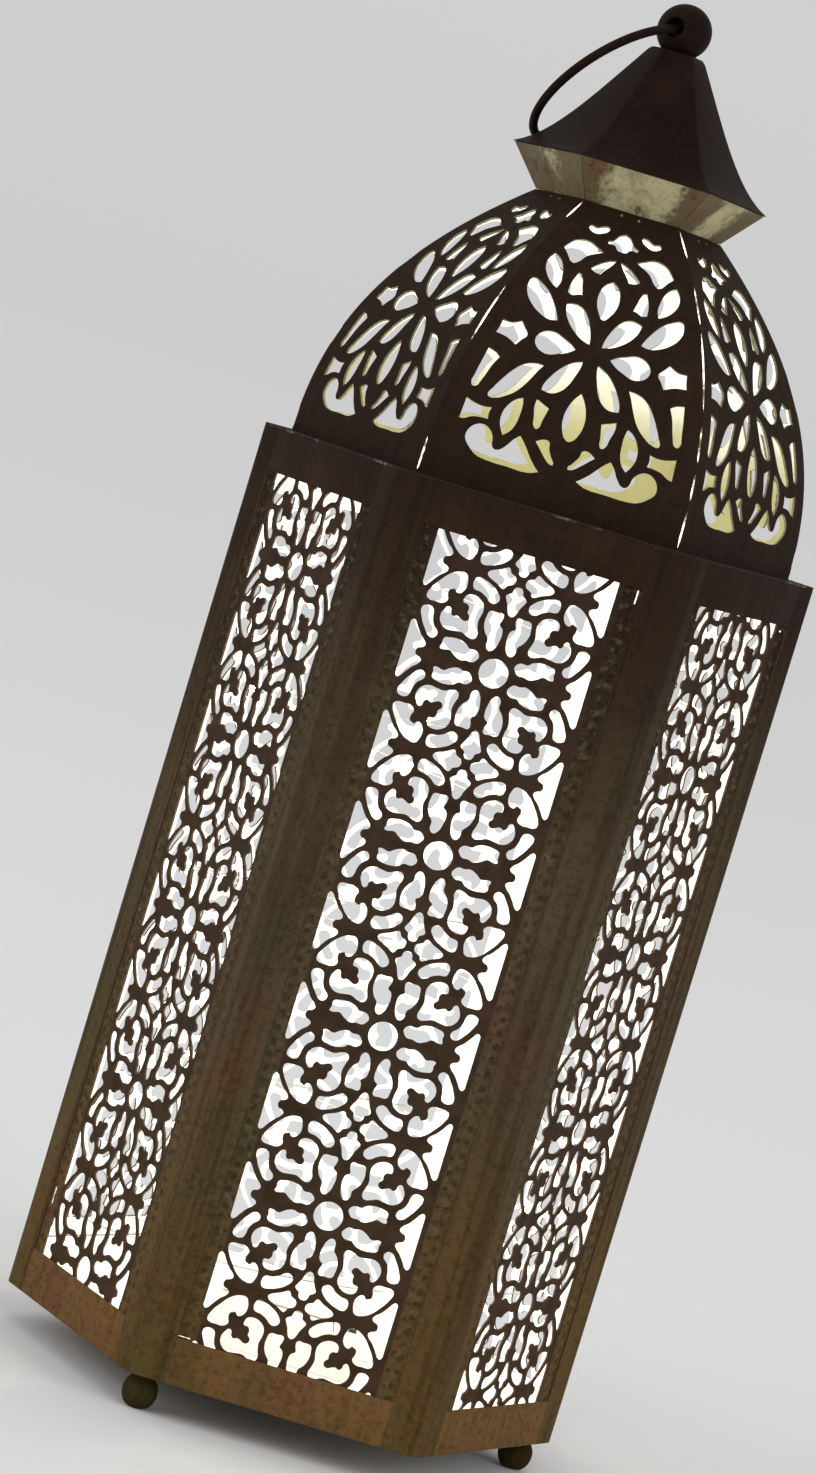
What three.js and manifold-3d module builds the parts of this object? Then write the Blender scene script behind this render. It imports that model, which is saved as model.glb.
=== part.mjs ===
// A hexagonal pierced sheet-metal lantern that stands on three ball feet, lit inside by a battery
// string of small lamps. Millimetres, +Z up. The origin is on the ground under the lantern's axis,
// and the front face looks along -Y.
import * as THREE from "three";
import { mergeVertices } from "three/addons/utils/BufferGeometryUtils.js";
import Module from "manifold-3d";

const wasm = await Module();
wasm.setup();
const { Manifold, Mesh: SolidMesh } = wasm;

// Driving sizes of the body
const BODY_CORNER_RADIUS = 128.4; // axis to a sharp corner, which is also the length of one side
const BODY_HEIGHT = 403.4; // underside of the bottom rails to the top of the rim
const FOOT_HEIGHT = 16;
const SHEET_THICKNESS = 1; // posts, rails, roof and cap
const SEAT_GAP = 0.3; // solder line between pieces that touch
const POST_FLANGE_WIDTH = 16;
const POST_CORNER_RADIUS = 6;
const TOP_RAIL_HEIGHT = 19.8; // with the rim on it
const BOTTOM_RAIL_HEIGHT = 20.4;
const RAIL_LIP_WIDTH = 12;
const RIM_THICKNESS = 1.2;
const RIM_LEDGE_WIDTH = 13; // rim outside the dome, measured at a corner
const RIM_SEAT_WIDTH = 11; // rim that reaches in under the dome, measured at a corner
const BASE_THICKNESS = 1.2;

// Pierced panels
const PANEL_THICKNESS = 0.8;
const PANEL_OVERLAP = 5; // how far a panel reaches behind the posts and rails
const PANEL_BORDER_WIDTH = 7.85; // unpierced strip along each upright edge of a window
const PATTERN_EDGE_WIDTH = 1.6; // least metal round the pierced field
// From the top of each window to its first rosette: the panels are cut from one running sheet.
const ROSETTE_DISTANCES = {
  front: 52.3,
  front_right: 75.1,
  rear_right: 23.4,
  rear: 61.8,
  rear_left: 45.2,
  front_left: 35.6,
};

// Feet, each held by its own stud and a nut inside
const FOOT_RADIUS = 7.85;
const FOOT_INSET = 14.4; // foot's centre from the body's corner
const STUD_RADIUS = 2;
const STUD_CLEARANCE = 0.4;
const STUD_END_LENGTH = 1.5; // thread standing past a nut
const NUT_RADIUS = 4;
const NUT_HEIGHT = 3.2;

// Dome, drawn as a curve of corner radius against height
const DOME_HEIGHT = 132.8;
const NECK_RADIUS = 42.8;
const RIDGE_GAP = 0.7; // light slit between two dome panels
const DOME_STEPS = 7;

// Cap
const SKIRT_HEIGHT = 17.2;
const EAVE_RADIUS = 59.2;
const EAVE_RETURN_WIDTH = 1.4; // how far the skirt's top edge sits inside the eave
const EAVE_EDGE_WIDTH = 2.6; // cut edge of the cap and of the skirt at the eave, measured level
const CAP_HEIGHT = 55;
const SHOULDER_RADIUS = 14;
const CROWN_STEP_HEIGHT = 2.2; // from the shoulder to the flat crown
const CROWN_RADIUS = 11.5;
const CAP_STEPS = 9;

// Ball finial and ring handle
const BALL_RADIUS = 12.3;
const BALL_SEAT_RADIUS = 7.7; // flat that rests on the crown
const RING_RADIUS = 40.2;
const RING_WIRE_RADIUS = 2;
const RING_HOLE_CLEARANCE = 0.45;
const RING_HOLE_TURN = 63; // degrees, direction of the cross-hole in plan
const RING_REST_DROP = 50; // degrees, below level
const FINIAL_STUD_RADIUS = 2.5;
const FINIAL_NUT_RADIUS = 9.8;
const FINIAL_NUT_HEIGHT = 3.5;

// Door in the rear left face, with its two hinges, knob, stop and turn latch
const DOOR_GAP = 0.8;
const DOOR_STRIP_WIDTH = 8.8;
const DOOR_PANEL_INSET = 5;
const HINGE_BARREL_RADIUS = 2.2;
const HINGE_PIN_RADIUS = 1;
const HINGE_HEIGHT = 30;
const HINGE_LEAF_WIDTH = 6;
const HINGE_LEAF_THICKNESS = 0.8;
const HINGE_END_DISTANCE = 55; // hinge's middle from the door's top or bottom
const STOP_WIDTH = 12;
const STOP_HEIGHT = 60;
const KNOB_RADIUS = 4.2;
const KNOB_LENGTH = 10;
const KNOB_DISTANCE = 34; // below the latch
const LATCH_LENGTH = 20;
const LATCH_WIDTH = 7;
const LATCH_THICKNESS = 1.2;
const LATCH_GAP = 0.7; // from the faces that it sweeps over
const LATCH_PIN_RADIUS = 1.5;
const LATCH_HEAD_RADIUS = 3;
const LATCH_HEAD_HEIGHT = 1;

// Battery box on the base, for two cells
const CELL_RADIUS = 7.15;
const CELL_LENGTH = 50;
const CELL_TIP_RADIUS = 2.7;
const CELL_TIP_LENGTH = 1.2;
const CELL_COUNT = 2;
const CELL_CLEARANCE = 0.4;
const BOX_WALL_THICKNESS = 1.6;
const BOX_SWITCH_LENGTH = 13;
const LID_THICKNESS = 1.4;
const LID_CLEARANCE = 0.35;
const LID_GROOVE_DEPTH = 1.2; // how far the lid runs into each side wall
const SWITCH_LENGTH = 5;
const SWITCH_WIDTH = 3.4;
const SWITCH_HEIGHT = 1.8;
const SWITCH_TRAVEL = 3;

// Lamp string, wound inside the panels
const WIRE_RADIUS = 0.4;
const STRING_PITCH = 82; // from one turn to the next
const STRING_START_HEIGHT = 44; // above the ground
const STRING_WALL_GAP = 0.35; // to the panels' inner faces
const LEAD_TURN = 130; // degrees round the axis, from the battery box out to the panels
const LEAD_STRAIGHT_LENGTH = 6; // out of the battery box
const LAMP_COUNT = 30;
const LAMP_SPACING = 100;
const LAMP_RADIUS = 1.9;
const LAMP_LENGTH = 4.4;

// Counts
const SIDES = 6;
const LEAD_STEPS = 9;
const STEPS_PER_LAMP = 4;
const WIRE_SIDES = 6;
const RING_STEPS = 32;
const RING_SIDES = 8;
const BARREL_SIDES = 8; // of a hinge
const FOLD_STEPS = 3;
const BALL_STEPS = 7;
const ROUND = 12; // sides of a small round

// Set by the hexagon
const FACE_TURN = 360 / SIDES;
const toRadians = THREE.MathUtils.degToRad;
const HALF_SIDE_SINE = Math.sin(toRadians(FACE_TURN / 2));
const FLAT_SHARE = Math.cos(toRadians(FACE_TURN / 2)); // distance to a face, as a share of a corner's
const FOLD_SINE = Math.sin(toRadians(FACE_TURN)); // fold's centre, as a share of its radius
const FRONT = -90; // degrees, direction of the front face

// Heights and distances that follow
const WALL_BOTTOM = FOOT_HEIGHT;
const RIM_TOP = FOOT_HEIGHT + BODY_HEIGHT;
const WALL_TOP = RIM_TOP - RIM_THICKNESS - SEAT_GAP;
const WINDOW_TOP = RIM_TOP - TOP_RAIL_HEIGHT;
const WINDOW_BOTTOM = WALL_BOTTOM + BOTTOM_RAIL_HEIGHT;
const FACE_DISTANCE = BODY_CORNER_RADIUS * FLAT_SHARE;
const PANEL_DISTANCE = FACE_DISTANCE - SHEET_THICKNESS - SEAT_GAP;
const WINDOW_HALF = BODY_CORNER_RADIUS / 2 - POST_FLANGE_WIDTH;
const PATTERN_PITCH = 2 * (WINDOW_HALF - PANEL_BORDER_WIDTH); // a panel is one repeat wide
const DOME_BASE_RADIUS = BODY_CORNER_RADIUS - RIM_LEDGE_WIDTH;
const BASE_BOTTOM = WALL_BOTTOM + SHEET_THICKNESS + SEAT_GAP;
const BASE_TOP = BASE_BOTTOM + BASE_THICKNESS;
const DOME_BOTTOM = RIM_TOP + SEAT_GAP;
const NECK_HEIGHT = DOME_BOTTOM + DOME_HEIGHT;
const SKIRT_BOTTOM = NECK_HEIGHT + SEAT_GAP;
const EAVE_HEIGHT = SKIRT_BOTTOM + SKIRT_HEIGHT + SEAT_GAP;
const SHOULDER_HEIGHT = EAVE_HEIGHT + CAP_HEIGHT;
const CROWN_HEIGHT = SHOULDER_HEIGHT + CROWN_STEP_HEIGHT;

// Joining and cutting
const WELD_DISTANCE = 1e-4;

function toSolid(geometry) {
  const bare = geometry.clone();
  bare.deleteAttribute("normal");
  bare.deleteAttribute("uv");
  const merged = mergeVertices(bare, WELD_DISTANCE);
  const vertProperties = merged.attributes.position.array;
  const triVerts = new Uint32Array(merged.index.array);
  return new Manifold(new SolidMesh({ numProp: 3, vertProperties, triVerts }));
}

function toGeometry(solid) {
  const { vertProperties, triVerts, numProp } = solid.getMesh();
  const geometry = new THREE.BufferGeometry();
  geometry.setAttribute("position", new THREE.BufferAttribute(vertProperties.slice(), numProp));
  geometry.setIndex(new THREE.BufferAttribute(triVerts.slice(), 1));
  geometry.computeVertexNormals();
  return geometry;
}

const joined = (first, ...others) =>
  toGeometry(others.reduce((all, next) => all.add(toSolid(next)), toSolid(first)));

const cut = (first, ...tools) =>
  toGeometry(tools.reduce((left, tool) => left.subtract(toSolid(tool)), toSolid(first)));

// Shapes
const AXIS_X = new THREE.Vector3(1, 0, 0);
const AXIS_Y = new THREE.Vector3(0, 1, 0);
const AXIS_Z = new THREE.Vector3(0, 0, 1);
const PROFILE_ALONG_X = new THREE.Matrix4().makeBasis(AXIS_Y, AXIS_Z, AXIS_X);

const prism = (shape, depth, curveSegments = FOLD_STEPS) =>
  new THREE.ExtrudeGeometry(shape, { depth, bevelEnabled: false, steps: 1, curveSegments });

// A plate standing in XZ whose front is at `front` along Y.
const standing = (shape, thickness, front, curveSegments = ROUND) =>
  prism(shape, thickness, curveSegments)
    .rotateX(Math.PI / 2)
    .translate(0, front + thickness, 0);

// A profile drawn as (Y, Z), run along X and centred there.
const bar = (profile, length) =>
  prism(profile, length).applyMatrix4(PROFILE_ALONG_X).translate(-length / 2, 0, 0);

function outline(points, Kind = THREE.Shape) {
  return new Kind(points.map(([x, y]) => new THREE.Vector2(x, y)));
}

const rectangle = (left, bottom, right, top, Kind = THREE.Shape) =>
  outline([[left, bottom], [right, bottom], [right, top], [left, top]], Kind);

function block(left, right, front, back, bottom, top) {
  return new THREE.BoxGeometry(right - left, back - front, top - bottom).translate(
    (left + right) / 2,
    (front + back) / 2,
    (bottom + top) / 2,
  );
}

// An upright round rod at (x, y).
const rod = (radius, bottom, top, x = 0, y = 0, sides = ROUND) =>
  new THREE.CylinderGeometry(radius, radius, top - bottom, sides)
    .rotateX(Math.PI / 2)
    .translate(x, y, (bottom + top) / 2);

// A rod that lies along -Y from `back` to `front`.
const pin = (radius, front, back, x, z, sides = ROUND) =>
  new THREE.CylinderGeometry(radius, radius, back - front, sides).translate(x, (front + back) / 2, z);

function polygonPoints(radius, sides, turn = 0) {
  return Array.from({ length: sides }, (_, i) => {
    const angle = toRadians(turn + (360 * i) / sides);
    return [radius * Math.cos(angle), radius * Math.sin(angle)];
  });
}

// A hexagon with rounded folds, its sharp corners at `radius`.
function hexagon(radius, fold) {
  const shape = new THREE.Shape();
  const centre = radius - fold / FOLD_SINE;
  for (let corner = 0; corner < SIDES; corner++) {
    const angle = toRadians(FACE_TURN * corner);
    const half = toRadians(FACE_TURN / 2);
    shape.absarc(centre * Math.cos(angle), centre * Math.sin(angle), fold, angle - half, angle + half);
  }
  return shape;
}

// The material and the named mesh of one piece
const BRONZE = { color: 0x4a3a28, roughness: 0.62, metalness: 0.55 };
const DARK_BRONZE = { color: 0x2a1f18, roughness: 0.6, metalness: 0.5 };
const CAP_BRONZE = { color: 0x1e1512, roughness: 0.6, metalness: 0.5 };
const WORN_BRONZE = { color: 0x8c8262, roughness: 0.7, metalness: 0.3 };
const PLASTIC = { color: 0xe8e6df, roughness: 0.45, metalness: 0 };
const CELL_GREEN = { color: 0x3d6b4a, roughness: 0.4, metalness: 0.3 };
const SILVER_WIRE = { color: 0xd9d9d6, roughness: 0.35, metalness: 0.6 };

function piece(parent, name, geometry, finish) {
  const mesh = new THREE.Mesh(geometry, new THREE.MeshStandardMaterial(finish));
  mesh.name = name;
  parent.add(mesh);
  return mesh;
}

const lantern = new THREE.Group();

// A group whose own front, -Y, looks along `direction` in degrees.
function faceGroup(direction) {
  const group = new THREE.Group();
  group.rotation.z = toRadians(direction - FRONT);
  lantern.add(group);
  return group;
}

// A group whose own +X points along `direction`.
function cornerGroup(direction) {
  const group = new THREE.Group();
  group.rotation.z = toRadians(direction);
  lantern.add(group);
  return group;
}

const FACES = [
  ["front", 270],
  ["front_right", 330],
  ["rear_right", 30],
  ["rear", 90],
  ["rear_left", 150],
  ["front_left", 210],
];
const CORNERS = [
  ["right", 0],
  ["rear_right", 60],
  ["rear_left", 120],
  ["left", 180],
  ["front_left", 240],
  ["front_right", 300],
];
const DOOR_FACE = "rear_left";
const FOOT_CORNERS = ["right", "rear_left", "front_left"];

// Posts, rails, rim and base

// A folded post, drawn at the corner on +X.
function postSection() {
  const shape = new THREE.Shape();
  const half = toRadians(FACE_TURN / 2);
  const flangeEnd = (side, depth) => [
    BODY_CORNER_RADIUS - POST_FLANGE_WIDTH * HALF_SIDE_SINE - depth * FLAT_SHARE,
    side * (POST_FLANGE_WIDTH * FLAT_SHARE - depth * HALF_SIDE_SINE),
  ];
  const centre = BODY_CORNER_RADIUS - POST_CORNER_RADIUS / FOLD_SINE;
  shape.moveTo(...flangeEnd(-1, 0));
  shape.absarc(centre, 0, POST_CORNER_RADIUS, -half, half, false);
  shape.lineTo(...flangeEnd(1, 0));
  shape.lineTo(...flangeEnd(1, SHEET_THICKNESS));
  shape.absarc(centre, 0, POST_CORNER_RADIUS - SHEET_THICKNESS, half, -half, true);
  shape.lineTo(...flangeEnd(-1, SHEET_THICKNESS));
  return shape;
}

function makePosts() {
  for (const [name, direction] of CORNERS) {
    const geometry = prism(postSection(), WALL_TOP - WALL_BOTTOM).translate(0, 0, WALL_BOTTOM);
    piece(cornerGroup(direction), `corner_post_${name}`, geometry, BRONZE);
  }
}

// A rail is an upright strip whose lip turns into the lantern at `lipAt`.
function railProfile(bottom, top, lipAt) {
  const face = -FACE_DISTANCE;
  const back = face + SHEET_THICKNESS;
  const upper = Math.max(lipAt, bottom + SHEET_THICKNESS);
  const lower = upper - SHEET_THICKNESS;
  const atBottom = lower === bottom;
  const lip = [
    [face + RAIL_LIP_WIDTH, lower],
    [face + RAIL_LIP_WIDTH, upper],
  ];
  return atBottom
    ? outline([[face, bottom], ...lip, [back, upper], [back, top], [face, top]])
    : outline([[face, bottom], [back, bottom], [back, lower], ...lip, [face, top]]);
}

function makeRails() {
  const length = 2 * (WINDOW_HALF - SEAT_GAP);
  for (const [name, direction] of FACES) {
    const group = faceGroup(direction);
    const low = bar(railProfile(WALL_BOTTOM, WINDOW_BOTTOM, WALL_BOTTOM), length);
    const high = bar(railProfile(WINDOW_TOP, WALL_TOP, WALL_TOP), length);
    piece(group, `bottom_rail_${name}`, low, BRONZE);
    piece(group, `top_rail_${name}`, high, BRONZE);
  }
}

function makeRim() {
  const shape = hexagon(BODY_CORNER_RADIUS, POST_CORNER_RADIUS);
  const hole = polygonPoints(DOME_BASE_RADIUS - RIM_SEAT_WIDTH, SIDES);
  shape.holes.push(outline(hole, THREE.Path));
  const geometry = prism(shape, RIM_THICKNESS).translate(0, 0, RIM_TOP - RIM_THICKNESS);
  piece(lantern, "rim_ring", geometry, DARK_BRONZE);
}

const footPlace = () => BODY_CORNER_RADIUS - FOOT_INSET;

function makeBase() {
  const play = SHEET_THICKNESS + SEAT_GAP;
  const shape = hexagon(BODY_CORNER_RADIUS - play / FLAT_SHARE, POST_CORNER_RADIUS - play);
  for (const [name, direction] of CORNERS) {
    if (!FOOT_CORNERS.includes(name)) continue;
    const angle = toRadians(direction);
    const hole = polygonPoints(STUD_RADIUS + STUD_CLEARANCE, ROUND).map(([x, y]) => [
      x + footPlace() * Math.cos(angle),
      y + footPlace() * Math.sin(angle),
    ]);
    shape.holes.push(outline(hole, THREE.Path));
  }
  const geometry = prism(shape, BASE_THICKNESS).translate(0, 0, BASE_BOTTOM);
  piece(lantern, "base_plate", geometry, BRONZE);
}

// Feet
// Each point is [share of the foot's radius, share of its height] from the ground up.
const FOOT_SHARES = [
  [0.5, 0],
  [0.84, 0.14],
  [1, 0.4],
  [0.93, 0.64],
  [0.66, 0.86],
  [0.5, 0.94],
];

const nut = (radius, height, bore) => {
  const shape = outline(polygonPoints(radius, SIDES));
  shape.holes.push(outline(polygonPoints(bore, ROUND), THREE.Path));
  return prism(shape, height);
};

function makeFeet() {
  const shoulder = BASE_BOTTOM - SEAT_GAP;
  const nutBottom = BASE_TOP + SEAT_GAP;
  const studTop = nutBottom + NUT_HEIGHT + STUD_END_LENGTH;
  const body = FOOT_SHARES.map(([across, up]) => [across * FOOT_RADIUS, up * FOOT_HEIGHT]);
  const neck = body.at(-1)[0];
  const profile = [[0, 0], ...body, [neck, shoulder], [STUD_RADIUS, shoulder], [STUD_RADIUS, studTop]];
  profile.push([0, studTop]);
  const points = profile.map(([x, y]) => new THREE.Vector2(x, y));
  for (const [name, direction] of CORNERS) {
    if (!FOOT_CORNERS.includes(name)) continue;
    const group = cornerGroup(direction);
    const foot = new THREE.LatheGeometry(points, ROUND).rotateX(Math.PI / 2);
    const bore = STUD_RADIUS + STUD_CLEARANCE;
    piece(group, `ball_foot_${name}`, foot.translate(footPlace(), 0, 0), BRONZE);
    const footNut = nut(NUT_RADIUS, NUT_HEIGHT, bore).translate(footPlace(), 0, nutBottom);
    piece(group, `foot_nut_${name}`, footNut, WORN_BRONZE);
  }
}

// Pierced panels
// Openings in one quarter of a repeat, right of and above the rosette's middle, as shares of the
// pitch: a bean across, a bean up, the round one between them, and the one in the outer corner.
const QUARTER_HOLE_SHARES = [
  [[0.099, 0.032], [0.31, 0.052], [0.297, 0.121], [0.112, 0.092]],
  [[0.02, 0.13], [0.084, 0.112], [0.126, 0.297], [0.035, 0.315]],
  [[0.153, 0.146], [0.322, 0.152], [0.359, 0.229], [0.26, 0.357], [0.146, 0.326]],
  [[0.27, 0.39], [0.366, 0.28], [0.462, 0.303], [0.32, 0.464]],
];
const QUARTER_SIGNS = [[1, 1], [-1, 1], [-1, -1], [1, -1]];
const ROSETTE_SHARE = 0.079; // the round hole in a rosette's middle
const HUB_SIDES = 6;

const moved = (points, x, y) => points.map(([px, py]) => [px + x, py + y]);

// A kite from `start` to `end` along `turn`.
function kite(start, end, width, turn) {
  const angle = toRadians(turn);
  const along = [Math.cos(angle), Math.sin(angle)];
  const across = [-along[1], along[0]];
  const middle = (start + end) / 2;
  const place = (run, side) => [
    run * along[0] + side * across[0],
    run * along[1] + side * across[1],
  ];
  return [place(start, 0), place(middle, -width / 2), place(end, 0), place(middle, width / 2)];
}

function repeatHoles() {
  const holes = [polygonPoints(ROSETTE_SHARE * PATTERN_PITCH, HUB_SIDES)];
  for (const [right, up] of QUARTER_SIGNS) {
    const place = ([across, high]) => [right * across * PATTERN_PITCH, up * high * PATTERN_PITCH];
    holes.push(...QUARTER_HOLE_SHARES.map((hole) => hole.map(place)));
  }
  return holes;
}

// Adds the repeats that fit a field of the given half width between two heights.
function pierce(shape, half, bottom, top, rosette) {
  const [side, low, high] = [
    half - PATTERN_EDGE_WIDTH,
    bottom + PATTERN_EDGE_WIDTH,
    top - PATTERN_EDGE_WIDTH,
  ];
  const inField = ([x, z]) => Math.abs(x) <= side && z >= low && z <= high;
  const rows = Math.ceil((top - bottom) / PATTERN_PITCH) + 1;
  for (let row = -1; row < rows; row++) {
    for (const hole of repeatHoles()) {
      const placed = moved(hole, 0, rosette - row * PATTERN_PITCH);
      if (placed.every(inField)) shape.holes.push(outline(placed, THREE.Path));
    }
  }
  return shape;
}

function makePanels() {
  const half = WINDOW_HALF + PANEL_OVERLAP;
  const bottom = WINDOW_BOTTOM - PANEL_OVERLAP;
  const top = WINDOW_TOP + PANEL_OVERLAP;
  for (const [name, direction] of FACES) {
    if (name === DOOR_FACE) continue;
    const shape = rectangle(-half, bottom, half, top);
    const field = WINDOW_HALF - PANEL_BORDER_WIDTH;
    pierce(shape, field, WINDOW_BOTTOM, WINDOW_TOP, WINDOW_TOP - ROSETTE_DISTANCES[name]);
    const geometry = standing(shape, PANEL_THICKNESS, -PANEL_DISTANCE);
    piece(faceGroup(direction), `pierced_panel_${name}`, geometry, BRONZE);
  }
}

// Dome
// The dome's line from the rim up to the neck, as shares of its span and height.
const DOME_LINE_SHARES = [
  [1, 0],
  [1, 0.364],
  [0.747, 0.665],
  [0, 1],
];
const domeBend = new THREE.CubicBezierCurve(
  ...DOME_LINE_SHARES.map(([out, up]) => {
    const across = THREE.MathUtils.lerp(NECK_RADIUS, DOME_BASE_RADIUS, out);
    return new THREE.Vector2(across, DOME_BOTTOM + DOME_HEIGHT * up);
  }),
);

// The middle line of the front dome panel at a share of its length: place, and the way up along it.
function domeAt(share) {
  const corner = domeBend.getPointAt(share);
  const tangent = domeBend.getTangentAt(share);
  const point = new THREE.Vector3(0, -corner.x * FLAT_SHARE, corner.y);
  const up = new THREE.Vector3(0, -tangent.x * FLAT_SHARE, tangent.y).normalize();
  return { point, up, outward: new THREE.Vector3().crossVectors(AXIS_X, up).normalize() };
}

// Openings of one dome panel: [side shares of its half width there, share of its length, radius or
// length, sides or turn], drawn round one flower.
const FLOWER_SHARE = 0.44; // of the panel's length, the middle of the flower
const PETAL_COUNT = 8;
const PETAL_START = 5;
const PETAL_END = 19;
const PETAL_WIDTH = 8;
const LEAF_START = 23;
const LEAF_END = 38;
const LEAF_WIDTH = 7.5;
const STAR_PLACE = 29;
const STAR_RADIUS = 5;
const STAR_POINTS = 5;
const STAR_TURN = 90; // degrees, with one point upwards
const CURL_SIDE = 22;
const CURL_SHARE = 0.16;
const CURL_RADIUS = 9;
const TOP_HOLE_SHARES = [0.86, 0.93];
const TOP_HOLE_RADIUS = 4;

function domeHoles() {
  const holes = [];
  for (let i = 0; i < PETAL_COUNT; i++) {
    const turn = (360 * (i + 0.5)) / PETAL_COUNT;
    const leaf = (360 * i) / PETAL_COUNT;
    const onSide = i % (PETAL_COUNT / 2) === 0;
    holes.push([FLOWER_SHARE, kite(PETAL_START, PETAL_END, PETAL_WIDTH, turn)]);
    if (onSide) {
      const star = polygonPoints(STAR_RADIUS, STAR_POINTS, STAR_TURN);
      holes.push([FLOWER_SHARE, moved(star, STAR_PLACE * Math.cos(toRadians(leaf)), 0)]);
    } else {
      holes.push([FLOWER_SHARE, kite(LEAF_START, LEAF_END, LEAF_WIDTH, leaf)]);
    }
  }
  for (const side of [-1, 1]) {
    const curl = polygonPoints(CURL_RADIUS, HUB_SIDES);
    holes.push([CURL_SHARE, moved(curl, side * CURL_SIDE, 0)]);
  }
  for (const share of TOP_HOLE_SHARES) {
    holes.push([share, polygonPoints(TOP_HOLE_RADIUS, 4)]);
  }
  return holes;
}

// The bent sheet before its ridges and holes are cut: one strip of the dome's curve, run sideways.
function domeSheet() {
  const shares = Array.from({ length: DOME_STEPS + 1 }, (_, i) => i / DOME_STEPS);
  const outer = shares.map((share) => domeAt(share).point);
  const inner = shares.map((share) => {
    const { point, outward } = domeAt(share);
    return point.clone().addScaledVector(outward, -SHEET_THICKNESS);
  });
  inner[0].z = outer[0].z;
  inner.at(-1).z = outer.at(-1).z;
  const profile = [...inner, ...outer.reverse()].map(({ y, z }) => [y, z]);
  return bar(outline(profile), 2 * DOME_BASE_RADIUS);
}

function domePanel() {
  const reach = DOME_BASE_RADIUS * 2;
  const half = reach * Math.tan(toRadians(FACE_TURN / 2));
  const far = -RIDGE_GAP - reach;
  const wedge = prism(outline([[0, -RIDGE_GAP], [-half, far], [half, far]]), NECK_HEIGHT);
  let panel = toSolid(domeSheet()).intersect(toSolid(wedge));
  for (const [share, hole] of domeHoles()) {
    const { point, up, outward } = domeAt(share);
    const depth = DOME_HEIGHT / DOME_STEPS + SHEET_THICKNESS;
    const tool = prism(outline(hole), 2 * depth).translate(0, 0, -depth);
    tool.applyMatrix4(new THREE.Matrix4().makeBasis(AXIS_X, up, outward).setPosition(point));
    panel = panel.subtract(toSolid(tool));
  }
  return toGeometry(panel);
}

function makeDome() {
  const geometry = domePanel();
  for (const [name, direction] of FACES) {
    piece(faceGroup(direction), `dome_panel_${name}`, geometry.clone(), DARK_BRONZE);
  }
}

// Cap, skirt and finial

// A hexagonal shell: an outer line of [corner radius, height] and the same line set in by the sheet.
function hexShell(outer, inner, finish, name) {
  const points = [...outer, ...inner.reverse(), outer[0]].map(([x, y]) => new THREE.Vector2(x, y));
  const shell = new THREE.LatheGeometry(points, SIDES, Math.PI / 2).rotateX(Math.PI / 2);
  piece(lantern, name, shell, finish);
}

// The cap's line from the eave up to the shoulder, as shares of its span and height.
const CAP_BEND_SHARES = [
  [0.653, 0.122],
  [0.365, 0.54],
];

function makeCap() {
  const crownHole = (FINIAL_STUD_RADIUS + STUD_CLEARANCE) / FLAT_SHARE;
  const span = EAVE_RADIUS - SHOULDER_RADIUS;
  const bends = CAP_BEND_SHARES.map(
    ([out, up]) => new THREE.Vector2(SHOULDER_RADIUS + span * out, EAVE_HEIGHT + CAP_HEIGHT * up),
  );
  const eave = new THREE.Vector2(EAVE_RADIUS, EAVE_HEIGHT);
  const shoulder = new THREE.Vector2(SHOULDER_RADIUS, SHOULDER_HEIGHT);
  const curve = new THREE.CubicBezierCurve(eave, ...bends, shoulder);
  const line = curve.getPoints(CAP_STEPS).map(({ x, y }) => [x, y]);
  const outer = [...line, [CROWN_RADIUS, CROWN_HEIGHT], [crownHole, CROWN_HEIGHT]];
  const inner = line.map(([x, y], i) => {
    if (i === 0) return [x - EAVE_EDGE_WIDTH, y];
    const slope = curve.getTangent(i / CAP_STEPS);
    const along = new THREE.Vector2(slope.x * FLAT_SHARE, slope.y).normalize();
    return [x - (SHEET_THICKNESS * along.y) / FLAT_SHARE, y + SHEET_THICKNESS * along.x];
  });
  inner.push([CROWN_RADIUS - SHEET_THICKNESS, CROWN_HEIGHT - SHEET_THICKNESS]);
  inner.push([crownHole, CROWN_HEIGHT - SHEET_THICKNESS]);
  hexShell(outer, inner, CAP_BRONZE, "cap_roof");
  const top = EAVE_RADIUS - EAVE_RETURN_WIDTH;
  const skirtTop = SKIRT_BOTTOM + SKIRT_HEIGHT;
  const skirtOuter = [[NECK_RADIUS, SKIRT_BOTTOM], [top, skirtTop]];
  const skirtInner = [[NECK_RADIUS - SHEET_THICKNESS, SKIRT_BOTTOM], [top - EAVE_EDGE_WIDTH, skirtTop]];
  hexShell(skirtOuter, skirtInner, WORN_BRONZE, "cap_skirt");
}

const BALL_SEAT = CROWN_HEIGHT + SEAT_GAP;
const BALL_HEIGHT = BALL_SEAT + Math.sqrt(BALL_RADIUS ** 2 - BALL_SEAT_RADIUS ** 2);
const RING_SAG = RING_RADIUS - Math.sqrt(RING_RADIUS ** 2 - BALL_RADIUS ** 2);

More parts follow.
